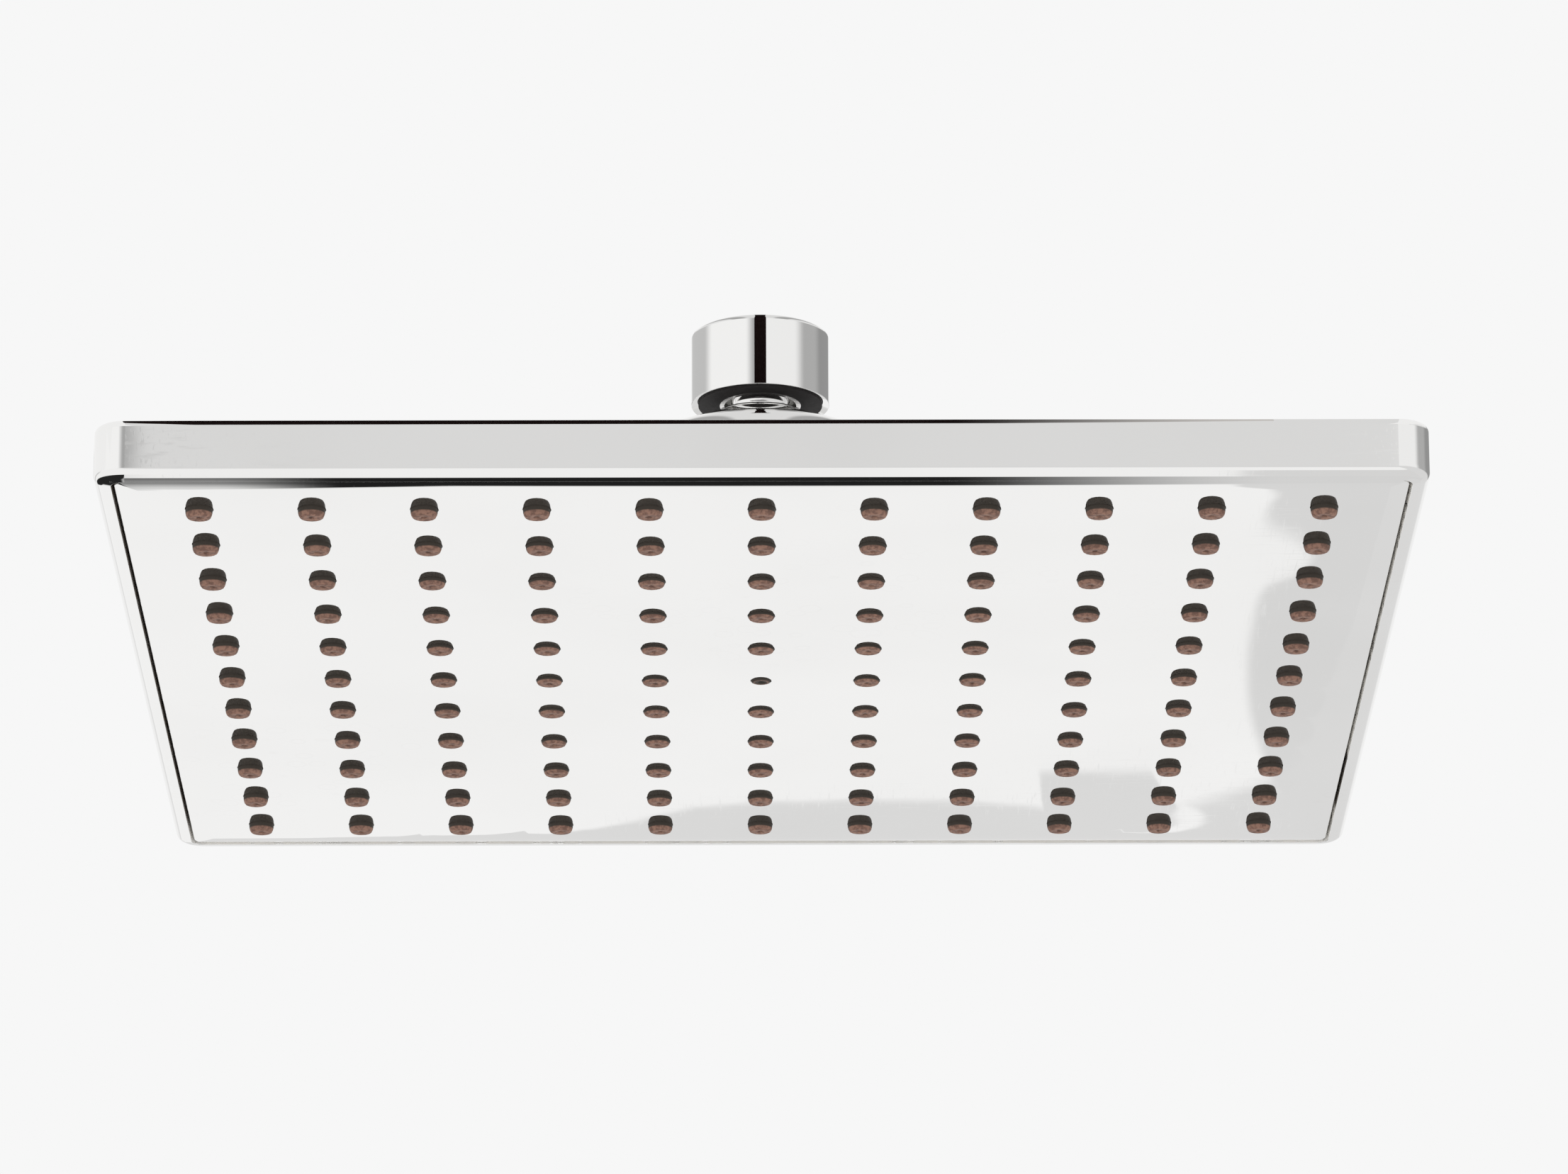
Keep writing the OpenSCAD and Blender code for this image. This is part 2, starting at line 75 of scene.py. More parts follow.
# Pyramid back and hub
LAND_HALF = 123.0
PYRAMID_CORNER_R = 4.5
PYRAMID_TOP_HALF = 17.0
PYRAMID_TOP_Z = 49.2
HOLLOW = 3.5
HIP_R = 5.0
HUB_R = 24.5
HUB_EDGE_R = 4.0
HUB_TOP_Z = 56.1
HUB_SLOPE = math.radians(24.2)
RECESS_R = 10.2
RECESS_Z = 55.0
SHANK_HOLE_R = 8.2
HUB_ROOF_Z = 52.0
TOWER_GAP_R = 12.4
HUB_SIDE_Z = 45.92
HUB_WALL = 2.5

# Swivel
FLANGE_Z = 55.5
FLANGE_TOP_Z = 56.7
FLANGE_R = 9.8
NUT_Z = 59.0
NUT_TOP_Z = 74.0
NUT_R = 14.0
BALL_Z = 63.6
BALL_R = 7.0
BALL_CUT = 2.0
NECK_R = 5.2
STEM_BORE_R = 3.5
SHANK_BORE_R = 4.4
SHANK_R = 7.95
NOSE_R = 6.6
NOSE_Z = 30.5
GROOVE_R = 5.1
SHANK_LOW_Z = 37.5
KEY_R = 4.2
KEY_DEPTH = 3.0
WIPER_R = 12.6
WIPER_T = 0.5
LIP_BORE_R = 7.3
LIP_TOP_Z = 60.4
CAVITY_R = 9.3
LEDGE_Z = 67.0
RELIEF_Z = 68.3
RELIEF_DEPTH = 0.3
INLET_R = 10.4775
THREAD_PITCH = 25.4 / 14
THREAD_DEPTH = 1.162


# Camera
def place_camera():
    """The camera of the photograph: a long lens in front of the head and below it, tilted up."""
    lens = 190.98
    place = Vector((-3.65, -1593.0, -493.9)) * MM
    ahead = Vector((0.00498, 0.95161, 0.30728)).normalized()
    roll = math.radians(-0.19)
    right = ahead.cross(Vector((0, 0, 1))).normalized()
    up = right.cross(ahead)
    right, up = (right * math.cos(roll) + up * math.sin(roll),
                 up * math.cos(roll) - right * math.sin(roll))
    data = bpy.data.cameras.new("camera")
    data.lens = lens
    data.sensor_width = 36.0
    data.clip_start = 0.05
    data.clip_end = 100.0
    camera = bpy.data.objects.new("camera", data)
    bpy.context.scene.collection.objects.link(camera)
    turn = Matrix((right, up, -ahead)).transposed()
    camera.matrix_world = Matrix.Translation(place) @ turn.to_4x4()
    bpy.context.scene.camera = camera


place_camera()


# Nodes
def link_or_set(tree, socket, value):
    """Joins a socket to another node's output, or sets it to a plain value."""
    if isinstance(value, bpy.types.NodeSocket):
        tree.links.new(value, socket)
    else:
        socket.default_value = value


def calc(tree, operation, a, b=0.5, c=0.5):
    """One Math node."""
    node = tree.nodes.new("ShaderNodeMath")
    node.operation = operation
    for socket, value in zip(node.inputs, (a, b, c)):
        link_or_set(tree, socket, value)
    return node.outputs[0]


def step(tree, value, low, high, to_low=0.0, to_high=1.0):
    """A smooth step of a value, from to_low below low up to to_high above high."""
    node = tree.nodes.new("ShaderNodeMapRange")
    node.interpolation_type = "SMOOTHSTEP"
    for name, v in (("Value", value), ("From Min", low), ("From Max", high),
                    ("To Min", to_low), ("To Max", to_high)):
        link_or_set(tree, node.inputs[name], v)
    return node.outputs["Result"]


def blend_values(tree, share, a, b):
    """A number between a and b."""
    node = tree.nodes.new("ShaderNodeMix")
    node.data_type = "FLOAT"
    for socket, value in zip(node.inputs[:4], (share, None, a, b)):
        if value is not None:
            link_or_set(tree, socket, value)
    return node.outputs[0]


def blend_colours(tree, share, a, b):
    """A colour between a and b."""
    node = tree.nodes.new("ShaderNodeMix")
    node.data_type = "RGBA"
    link_or_set(tree, node.inputs[0], share)
    for socket, value in zip(node.inputs[6:8], (a, b)):
        link_or_set(tree, socket, value if isinstance(value, bpy.types.NodeSocket) else (*value, 1.0))
    return node.outputs[2]


def noise(tree, place, scale, detail=2.0, rough=0.5):
    """A noise value between 0 and 1."""
    node = tree.nodes.new("ShaderNodeTexNoise")
    link_or_set(tree, node.inputs["Vector"], place)
    link_or_set(tree, node.inputs["Scale"], scale)
    node.inputs["Detail"].default_value = detail
    node.inputs["Roughness"].default_value = rough
    return node.outputs["Fac"]


def stretched(tree, place, turn, scale):
    """The same place, turned and stretched, for marks that run in one direction."""
    node = tree.nodes.new("ShaderNodeMapping")
    node.inputs["Rotation"].default_value = turn
    node.inputs["Scale"].default_value = scale
    link_or_set(tree, node.inputs["Vector"], place)
    return node.outputs[0]


def new_group(name, scale, *outputs):
    """A shader node group that reads a place and a scale and puts out numbers."""
    group = bpy.data.node_groups.new(name, "ShaderNodeTree")
    group.interface.new_socket("Place", in_out="INPUT", socket_type="NodeSocketVector")
    scale_socket = group.interface.new_socket("Scale", in_out="INPUT", socket_type="NodeSocketFloat")
    scale_socket.default_value = scale
    for socket in outputs:
        group.interface.new_socket(socket, in_out="OUTPUT", socket_type="NodeSocketFloat")
    return group, group.nodes.new("NodeGroupInput").outputs, group.nodes.new("NodeGroupOutput").inputs


def polish_marks_group():
    """Hairlines that wiping leaves on plating: two stretched noises crossing each other, cut to their
    crests."""
    group, given, made = new_group("polish_marks", 90.0, "Marks")
    lines = []
    for turn, long_way in (((0.1, 0.0, 0.5), (1.0, 26.0, 8.0)), ((0.0, 0.2, -0.7), (22.0, 1.0, 8.0))):
        place = stretched(group, given["Place"], turn, long_way)
        lines.append(step(group, noise(group, place, given["Scale"], 3.0, 0.6), 0.56, 0.74))
    group.links.new(calc(group, "MAXIMUM", lines[0], lines[1]), made["Marks"])
    return group


def water_marks_group():
    """Dried drops: thin rings round the cells of a jittered lattice, in patches where drops have stood."""
    group, given, made = new_group("water_marks", 140.0, "Rings")
    cells = group.nodes.new("ShaderNodeTexVoronoi")
    group.links.new(given["Place"], cells.inputs["Vector"])
    group.links.new(given["Scale"], cells.inputs["Scale"])
    ring = calc(group, "ABSOLUTE", calc(group, "SUBTRACT", cells.outputs["Distance"], 0.32))
    ring = step(group, ring, 0.0, 0.06, 1.0, 0.0)
    patch = step(group, noise(group, given["Place"], 9.0, 2.0), 0.52, 0.66)
    group.links.new(calc(group, "MULTIPLY", ring, patch), made["Rings"])
    return group


def fine_grain_group():
    """The fine texture of a moulded or cast surface: small noise over a slow swell."""
    group, given, made = new_group("fine_grain", 900.0, "Grain", "Swell")
    group.links.new(noise(group, given["Place"], given["Scale"], 4.0, 0.65), made["Grain"])
    swell = noise(group, given["Place"], calc(group, "MULTIPLY", given["Scale"], 0.04), 2.0)
    group.links.new(swell, made["Swell"])
    return group


def seam_dust_and_shade_group():
    """The seam between rim and face plate, painted dark as grime and shade: a mask that is full inside the
    slot, where the larger of |x| and |y| lies between the plate's edge and the rim, and breaks up along it
    with a noise.
    A second mask says where it is painted pale as light instead: along the far side, and in patches on the
    right."""
    group, given, made = new_group("seam_dust_and_shade", 400.0, "DustAndShade", "PaintedLight")
    split = group.nodes.new("ShaderNodeSeparateXYZ")
    group.links.new(given["Place"], split.inputs[0])
    right, back, up = split.outputs
    across = calc(group, "MAXIMUM", calc(group, "ABSOLUTE", right), calc(group, "ABSOLUTE", back))
    plate_side = step(group, across, (FACE_HALF - 0.12) * MM, (FACE_HALF - 0.02) * MM)
    rim_side = step(group, across, (RIM_INNER_HALF + 0.10) * MM, (RIM_INNER_HALF + 0.03) * MM)
    inside = calc(group, "MULTIPLY", plate_side, rim_side)
    inside = calc(group, "MULTIPLY", inside, step(group, up, 1.95 * MM, 2.15 * MM))
    broken = step(group, noise(group, given["Place"], given["Scale"], 3.0, 0.6), 0.30, 0.52)
    group.links.new(calc(group, "MULTIPLY", inside, broken), made["DustAndShade"])
    # Painted light: the slot is pale along the far side and in patches on the right
    patch = step(group, noise(group, given["Place"], 45.0, 1.0), 0.42, 0.48)
    patch = calc(group, "MULTIPLY", patch, step(group, right, 100 * MM, 118 * MM))
    group.links.new(calc(group, "MAXIMUM", patch, step(group, back, 100 * MM, 118 * MM)), made["PaintedLight"])
    return group


POLISH = polish_marks_group()
SEAM_DUST_AND_SHADE = seam_dust_and_shade_group()
WATER = water_marks_group()
GRAIN = fine_grain_group()


def use_group(tree, group, place, scale):
    """The outputs of a node group, placed in a material with its own scale."""
    node = tree.nodes.new("ShaderNodeGroup")
    node.node_tree = group
    tree.links.new(place, node.inputs["Place"])
    node.inputs["Scale"].default_value = scale
    return node.outputs


def new_material(name):
    """A material with its Principled shader and the object's own coordinates."""
    material = bpy.data.materials.new(name)
    material.use_nodes = True
    tree = material.node_tree
    surface = tree.nodes["Principled BSDF"]
    place = tree.nodes.new("ShaderNodeTexCoord").outputs["Object"]
    return material, tree, surface, place


def bumped(tree, surface, height, strength, distance):
    """Lets a height turn the shader's normal."""
    node = tree.nodes.new("ShaderNodeBump")
    node.inputs["Strength"].default_value = strength
    node.inputs["Distance"].default_value = distance
    tree.links.new(height, node.inputs["Height"])
    tree.links.new(node.outputs[0], surface.inputs["Normal"])


def chrome(name, ripple, spots, smoothest=0.022):
    """Bright chrome plating: wiped hairlines, faint dried drops, the slight ripple of what it is plated on,
    and
    a matt seam: dark for grime and painted shade, pale for painted light along the far side and on the right."""
    material, tree, surface, place = new_material(name)
    clean, clouded, spotted = (0.875, 0.871, 0.862), (0.852, 0.848, 0.838), (0.80, 0.79, 0.78)
    # Seam colours: the dark one is grime with painted shade, the pale one is painted light
    dark_dust_and_shade, pale_painted_light = (0.17, 0.14, 0.105), (0.90, 0.88, 0.84)
    marks = use_group(tree, POLISH, place, 90.0)["Marks"]
    rings = use_group(tree, WATER, place, 150.0)["Rings"]
    cloud = step(tree, noise(tree, place, 14.0, 3.0), 0.35, 0.7)
    drops = calc(tree, "MULTIPLY", rings, spots)
    tone = blend_colours(tree, drops, blend_colours(tree, cloud, clean, clouded), spotted)
    # In the seam the plating turns to matt paint: grime with painted shade, and painted light where it is
    # pale
    seam = use_group(tree, SEAM_DUST_AND_SHADE, place, 400.0)
    dust_and_shade = seam["DustAndShade"]
    seam_dust_and_light = blend_colours(tree, seam["PaintedLight"], dark_dust_and_shade, pale_painted_light)
    tree.links.new(blend_colours(tree, dust_and_shade, tone, seam_dust_and_light), surface.inputs["Base Color"])
    tree.links.new(calc(tree, "SUBTRACT", 1.0, dust_and_shade), surface.inputs["Metallic"])
    rough = calc(tree, "MULTIPLY_ADD", cloud, 0.012, smoothest)
    rough = calc(tree, "MULTIPLY_ADD", marks, 0.035, rough)
    rough = calc(tree, "MULTIPLY_ADD", drops, 0.12, rough)
    tree.links.new(blend_values(tree, dust_and_shade, rough, 0.8), surface.inputs["Roughness"])
    swell = use_group(tree, GRAIN, place, 1400.0)["Swell"]
    bumped(tree, surface, calc(tree, "MULTIPLY_ADD", marks, 0.02, swell), ripple, 0.02 * MM)
    return material


def silicone():
    """Taupe silicone: a soft satin skin, slightly chalky in patches where water dries. Towards the root its
    wall is painted darker as shade, and its mirror image is painted with that same shade. The root begins at
    a share of the crowned plate's height: edge height - crown * (1 - u^2)(1 - v^2)."""
    # plain and chalky are the silicone's own tones; the third colour is painted shade for the root
    plain, chalky, painted_root_shade = (0.17, 0.09, 0.066), (0.32, 0.175, 0.125), (0.042, 0.033, 0.025)
    material, tree, surface, place = new_material("taupe_silicone")
    at = tree.nodes.new("ShaderNodeSeparateXYZ")
    tree.links.new(place, at.inputs[0])
    grain = use_group(tree, GRAIN, place, 1500.0)
    falls = []
    for side in at.outputs[:2]:
        share = calc(tree, "MULTIPLY", side, 1.0 / (FACE_HALF * MM))
        falls.append(calc(tree, "SUBTRACT", 1.0, calc(tree, "MULTIPLY", share, share)))
    stand = calc(tree, "MULTIPLY", falls[0], falls[1])
    stand = calc(tree, "MULTIPLY_ADD", stand, -CROWN * MM, EDGE_Z * MM)
    # Painted shade: the dark root colour covers the wall near the plate, and whole nozzles in reflections
    root = step(tree, calc(tree, "DIVIDE", at.outputs[2], stand), 0.42, 0.60)
    mirrored = tree.nodes.new("ShaderNodeLightPath").outputs["Is Glossy Ray"]
    root = calc(tree, "MAXIMUM", root, mirrored)
    chalk = step(tree, noise(tree, place, 1100.0, 3.0, 0.6), 0.38, 0.62)
    tip = blend_colours(tree, chalk, plain, chalky)
    tree.links.new(blend_colours(tree, root, tip, painted_root_shade), surface.inputs["Base Color"])
    tree.links.new(calc(tree, "MULTIPLY_ADD", grain["Grain"], 0.2, 0.45), surface.inputs["Roughness"])
    surface.inputs["Specular IOR Level"].default_value = 0.35
    bumped(tree, surface, grain["Grain"], 0.35, 0.04 * MM)
    return material


def moulded(name, light, dark, rough, scale, bump, shine=0.5):
    """Plain moulded plastic or rubber: two close tones in slow clouds and a fine grain."""
    material, tree, surface, place = new_material(name)
    grain = use_group(tree, GRAIN, place, scale)
    tree.links.new(blend_colours(tree, grain["Swell"], light, dark), surface.inputs["Base Color"])
    tree.links.new(calc(tree, "MULTIPLY_ADD", grain["Grain"], 0.18, rough), surface.inputs["Roughness"])
    surface.inputs["Specular IOR Level"].default_value = shine
    bumped(tree, surface, grain["Grain"], bump, 0.05 * MM)
    return material


def wiper_rubber():
    """Black rubber with a bright plated edge round its bore: the edge's share is a step of the distance
    from the Z axis."""
    rubber, plated = (0.024, 0.021, 0.021), (0.86, 0.85, 0.84)
    material, tree, surface, place = new_material("wiper_rubber")
    at = tree.nodes.new("ShaderNodeSeparateXYZ")
    tree.links.new(place, at.inputs[0])
    squares = [calc(tree, "MULTIPLY", side, side) for side in at.outputs[:2]]
    radius = calc(tree, "SQRT", calc(tree, "ADD", squares[0], squares[1]))
    grain = use_group(tree, GRAIN, place, 1100.0)
    bore = step(tree, radius, 8.30 * MM, 8.15 * MM)
    tree.links.new(blend_colours(tree, bore, rubber, plated), surface.inputs["Base Color"])
    tree.links.new(bore, surface.inputs["Metallic"])
    rough = calc(tree, "MULTIPLY_ADD", grain["Grain"], 0.2, 0.5)
    tree.links.new(blend_values(tree, bore, rough, 0.2), surface.inputs["Roughness"])
    surface.inputs["Specular IOR Level"].default_value = 0.3
    bumped(tree, surface, grain["Grain"], 0.4, 0.05 * MM)
    return material


def turned_metal(name, light, dark, rough):
    """Bare turned metal: tool rings round the Z axis, with dull clouds."""
    material, tree, surface, place = new_material(name)
    surface.inputs["Metallic"].default_value = 1.0
    rings = tree.nodes.new("ShaderNodeTexWave")
    rings.wave_type = "RINGS"
    rings.rings_direction = "Z"
    rings.inputs["Scale"].default_value = 900.0
    rings.inputs["Distortion"].default_value = 1.5
    tree.links.new(place, rings.inputs["Vector"])
    cloud = noise(tree, place, 160.0, 4.0)
    tree.links.new(blend_colours(tree, cloud, light, dark), surface.inputs["Base Color"])
    tree.links.new(calc(tree, "MULTIPLY_ADD", cloud, 0.2, rough), surface.inputs["Roughness"])
    bumped(tree, surface, rings.outputs["Fac"], 0.25, 0.03 * MM)
    return material


# Shapes
def ring_quads(rings, around, closed):
    """The quads between neighbouring rings of points, each ring closed on itself and the last joined to
    the first where closed."""
    i, j = np.meshgrid(np.arange(rings if closed else rings - 1), np.arange(around), indexing="ij")
    up, on = (i + 1) % rings, (j + 1) % around
    return np.stack([i * around + j, i * around + on, up * around + on, up * around + j], -1).reshape(-1, 4)


def make_piece(name, points, quads, material, body, slot, *nodes):
    """A closed mesh of the points and quads, with doubled points merged and its faces turned outwards.
    It stands for the CAD nodes named."""
    mesh = bpy.data.meshes.new(name)
    mesh.from_pydata((points.reshape(-1, 3) * MM).tolist(), [], quads.tolist())
    made = bmesh.new()
    made.from_mesh(mesh)
    bmesh.ops.remove_doubles(made, verts=made.verts, dist=0.002 * MM)
    bmesh.ops.dissolve_degenerate(made, edges=made.edges, dist=0.001 * MM)
    bmesh.ops.recalc_face_normals(made, faces=made.faces)
    made.to_mesh(mesh)
    made.free()
    mesh.shade_smooth()
    mesh.materials.append(material)
    piece = bpy.data.objects.new(name, mesh)
    bpy.context.scene.collection.objects.link(piece)
    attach(piece, body)
    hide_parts(*nodes)


def rounded_profile(corners, steps):
    """A closed line through corners (r, z, radius). Each corner becomes an arc tangent to both of its sides,
    centred on their bisector, and each side keeps a point just beyond the arc so that it shades flat."""
    flat = [np.array(corner[:2], float) for corner in corners]
    line = []
    for k, radius in enumerate(corner[2] for corner in corners):
        here, before, after = flat[k], flat[k - 1], flat[(k + 1) % len(flat)]
        if radius == 0:
            line.append(here[None])
            continue
        back = (before - here) / np.linalg.norm(before - here)
        on = (after - here) / np.linalg.norm(after - here)
        half = math.acos(np.clip(back @ on, -1, 1)) / 2
        reach = radius / math.tan(half)
        centre = here + (back + on) / np.linalg.norm(back + on) * radius / math.sin(half)
        first, last = here + back * reach - centre, here + on * reach - centre
        start = math.atan2(first[1], first[0])
        sweep = (math.atan2(last[1], last[0]) - start + math.pi) % (2 * math.pi) - math.pi
        angle = start + sweep * np.linspace(0, 1, steps + 1)
        arc = centre + radius * np.stack([np.cos(angle), np.sin(angle)], -1)
        beyond = reach + 0.15 * radius
        line += [(here + back * beyond)[None], arc, (here + on * beyond)[None]]
    return np.concatenate(line)


def revolved(profile, around):
    """Points (r, z) of a profile turned once round the Z axis: x = r cos a, y = r sin a."""
    turn = np.linspace(0, 2 * np.pi, around, endpoint=False)
    r, z = profile[:, 0, None], profile[:, 1, None]
    return np.stack([r * np.cos(turn), r * np.sin(turn), z + 0 * turn], -1)


def square_path(side_n, corner_n):
    """Two arrays, a and b, with which a rounded square of any size is (half - r) * a + r * b:
    a runs round the square of the corner centres, and b is the direction out of it, which turns at the
    corners. Each side has a point close to either end, so that it shades flat up to the corner."""
    a, b = [], []
    for quarter in range(4):
        along = np.concatenate([[-0.998], np.linspace(-0.975, 0.975, side_n), [0.998]])
        turn = np.linspace(-90, 0, corner_n) * math.pi / 180
        side_a, side_b = np.stack([along, -np.ones(side_n + 2)], -1), np.tile([0.0, -1.0], (side_n + 2, 1))
        corner_a, corner_b = np.tile([1.0, -1.0], (corner_n, 1)), np.stack([np.cos(turn), np.sin(turn)], -1)
        c, s = round(math.cos(quarter * math.pi / 2)), round(math.sin(quarter * math.pi / 2))
        spin = np.array([[c, s], [-s, c]])
        a += [side_a @ spin, corner_a @ spin]
        b += [side_b @ spin, corner_b @ spin]
    return np.concatenate(a), np.concatenate(b)


def square_size(x, y, hip_r):
    """How large a rounded square of corner radius hip_r passes through each point: the larger of |x| and |y|,
    but near the diagonals the radius plus the distance of the corner's centre."""
    x, y = np.abs(x), np.abs(y)
    near = np.abs(x - y) < hip_r
    root = np.sqrt(np.maximum(2 * hip_r ** 2 - (x - y) ** 2, 0))
    return np.where(near, hip_r + (x + y - root) / 2, np.maximum(x, y))


def flank_height(size, edge_half, edge_z, top_half, top_z, depth):
    """The height of a hollow pyramid face at a given size of its square: a circular arc from the edge to
    the top that sags below the straight line between them by depth."""
    run, rise = edge_half - top_half, top_z - edge_z
    chord = math.hypot(run, rise)
    radius = (chord ** 2 / 4 + depth ** 2) / (2 * depth)
    cx = (edge_half + top_half) / 2 + rise / chord * (radius - depth)
    cz = (edge_z + top_z) / 2 + run / chord * (radius - depth)
    at = np.clip(size, top_half, edge_half)
    return cz - np.sqrt(radius ** 2 - (at - cx) ** 2)


def hub_height(r):
    """The hub's top at a distance r from the axis: a shallow cone, then an arc over the shoulder, then a
    steep side."""
    side_slope = 9.0
    shoulder = HUB_R - HUB_EDGE_R
    shoulder_z = HUB_TOP_Z - (shoulder - RECESS_R) * math.tan(HUB_SLOPE) - HUB_EDGE_R / math.cos(HUB_SLOPE)
    cone = HUB_TOP_Z - (r - RECESS_R) * math.tan(HUB_SLOPE)
    arc = shoulder_z + np.sqrt(np.maximum(HUB_EDGE_R ** 2 - (r - shoulder) ** 2, 0))
    side = shoulder_z - (r - HUB_R) * side_slope
    over = shoulder + HUB_EDGE_R * math.sin(HUB_SLOPE)
    return np.where(r < over, cone, np.where(r < HUB_R, arc, side))


def back_cover():
    """Rim, pyramid and hub in one closed skin: rings that start as rounded squares at the rim and turn into
    circles at the hub, run over the outside, down the stem's hole and back along the inside.
    Outside, the height is the smooth maximum (u + v + sqrt((u - v)^2 + k^2)) / 2 of pyramid u and hub v."""
    a, b = square_path(44, 13)
    outline = (HALF - CORNER_R) * a + CORNER_R * b
    radial = outline / np.linalg.norm(outline, axis=1, keepdims=True)

    def square_ring(half, r):
        """A rounded square: (half - r) * a + r * b."""
        return (half - r) * a + r * b

    def level(plan, z):
        """A flat ring at height z."""
        return np.column_stack([plan, np.full(len(plan), float(z))])

    rings = []
    # Rim: groove side, land, lower rounding, wall and upper rounding
    land_rise = 0.18
    land_tilt = math.radians(9)
    groove_r = 0.06
    rings += [level(square_ring(RIM_INNER_HALF, RIM_INNER_CORNER_R), z) for z in (CEILING_Z - 0.3, 6.0, 3.0)]
    for t in np.linspace(0, 1, 4):
        half = RIM_INNER_HALF + groove_r * (1 - math.cos(t * math.pi / 2))
        z = EDGE_Z + groove_r * (1 - math.sin(t * math.pi / 2))
        rings.append(level(square_ring(half, RIM_INNER_CORNER_R + half - RIM_INNER_HALF), z))
    land_out = HALF - LOWER_R * (1 - math.sin(land_tilt))
    for t in (0.01, 0.3, 0.6, 0.95):
        half = RIM_INNER_HALF + groove_r + t * (land_out - RIM_INNER_HALF - groove_r)
        z = EDGE_Z + land_rise * (0.93 * t + 0.07 * t * t)
        rings.append(level(square_ring(half, CORNER_R - HALF + half), z))
    for t in np.linspace(land_tilt, math.pi / 2, 9):
        inset = LOWER_R * (1 - math.sin(t))
        z = EDGE_Z + land_rise + LOWER_R * (math.cos(land_tilt) - math.cos(t))
        rings.append(level(square_ring(HALF - inset, CORNER_R - inset), z))
    rings += [level(square_ring(HALF, CORNER_R), z) for z in
              (EDGE_Z + LOWER_R + 0.4, 6.0, 9.0, RIM_TOP_Z - UPPER_R - 0.1)]
    for t in np.linspace(0, math.pi / 2, 7):
        inset = UPPER_R * (1 - math.cos(t))
        z = RIM_TOP_Z - UPPER_R * (1 - math.sin(t))
        rings.append(level(square_ring(HALF - inset, CORNER_R - inset), z))
    # Pyramid and hub: below round_from the squares turn into circles, over a run of round_run
    round_from, round_run, fillet = 60, 34, 0.9
    reach = np.concatenate([
        [123.2, 122.8, 122.3, 121.5, 120, 117, 113, 108, 102, 95, 87, 79, 71, 63, 56, 49.5, 44, 39.5, 36,
         33.4, 31.4, 29.9, 28.7, 27.8, 27.1, 26.6, 26.2, 25.9, 25.65, 25.45, 25.28, 25.14, 25.02, 24.92,
         24.83, 24.76, 24.7, 24.65, 24.6, 24.55],
        HUB_R - HUB_EDGE_R + HUB_EDGE_R * np.sin(np.radians(np.linspace(90, 26, 9))),
        [21.8, 20.5, 18.5, 16.0, 13.5, 11.5, RECESS_R + 0.35]])
    for r in reach:
        turned = np.clip((round_from - r) / round_run, 0, 1)
        share = turned * turned * (3 - 2 * turned)
        plan = (1 - share) * square_ring(r, PYRAMID_CORNER_R) + share * r * radial
        size = square_size(plan[:, 0], plan[:, 1], HIP_R)
        pyramid = flank_height(size, LAND_HALF, RIM_TOP_Z, PYRAMID_TOP_HALF, PYRAMID_TOP_Z, HOLLOW)
        hub = hub_height(np.hypot(plan[:, 0], plan[:, 1]))
        blended = (pyramid + hub + np.sqrt((pyramid - hub) ** 2 + fillet ** 2)) / 2
        rings.append(np.column_stack([plan, pyramid if r > round_from else blended]))
    # Recess, stem hole and the inside
    lip, lip_fall = 0.25, 0.16
    for t in np.linspace(0, math.pi / 2, 5):
        rings.append(level((RECESS_R + lip * (1 - math.sin(t))) * radial,
                           HUB_TOP_Z - lip_fall - lip * (1 - math.cos(t))))
    rings += [level(r * radial, z) for r, z in (
        (RECESS_R, RECESS_Z), (SHANK_HOLE_R, RECESS_Z), (SHANK_HOLE_R, HUB_ROOF_Z),
        (TOWER_GAP_R, HUB_ROOF_Z), (HUB_R - HUB_WALL, HUB_SIDE_Z), (HUB_R - HUB_WALL, 43.0))]
    ceiling_half = RIM_INNER_HALF - 0.5
    for r in (30.0, 45.0, 62.0, 80.0, 100.0, 114.0):
        turned = np.clip((round_from - r) / round_run, 0, 1)
        plan = (1 - turned) * square_ring(r, RIM_INNER_CORNER_R) + turned * r * radial
        size = square_size(plan[:, 0], plan[:, 1], RIM_INNER_CORNER_R)
        z = flank_height(size, ceiling_half, CEILING_Z, PYRAMID_TOP_HALF - 1, PYRAMID_TOP_Z - 3, HOLLOW)
        rings.append(np.column_stack([plan, z]))
    rings.append(level(square_ring(ceiling_half, RIM_INNER_CORNER_R - 0.5), CEILING_Z))
    points = np.stack(rings)
    return points, ring_quads(len(points), len(a), True)


def crown_height(x, y):
    """The face plate's visible side: it stands below its edge by the crown times (1 - u^2)(1 - v^2),
    and its last few millimetres roll up by the square of how far they reach into the roll."""
    u, v = np.clip(x / FACE_HALF, -1, 1), np.clip(y / FACE_HALF, -1, 1)
    into_roll = np.maximum(0, (np.maximum(np.abs(x), np.abs(y)) - FACE_HALF + ROLL_W) / ROLL_W)
    return EDGE_Z - CROWN * (1 - u * u) * (1 - v * v) + ROLL_RISE * into_roll ** 2


def four_sides(side):
    """One side's points, turned by quarter turns about the origin into a whole square."""
    return np.concatenate([side, side @ [[0, 1], [-1, 0]], -side, side @ [[0, -1], [1, 0]]])


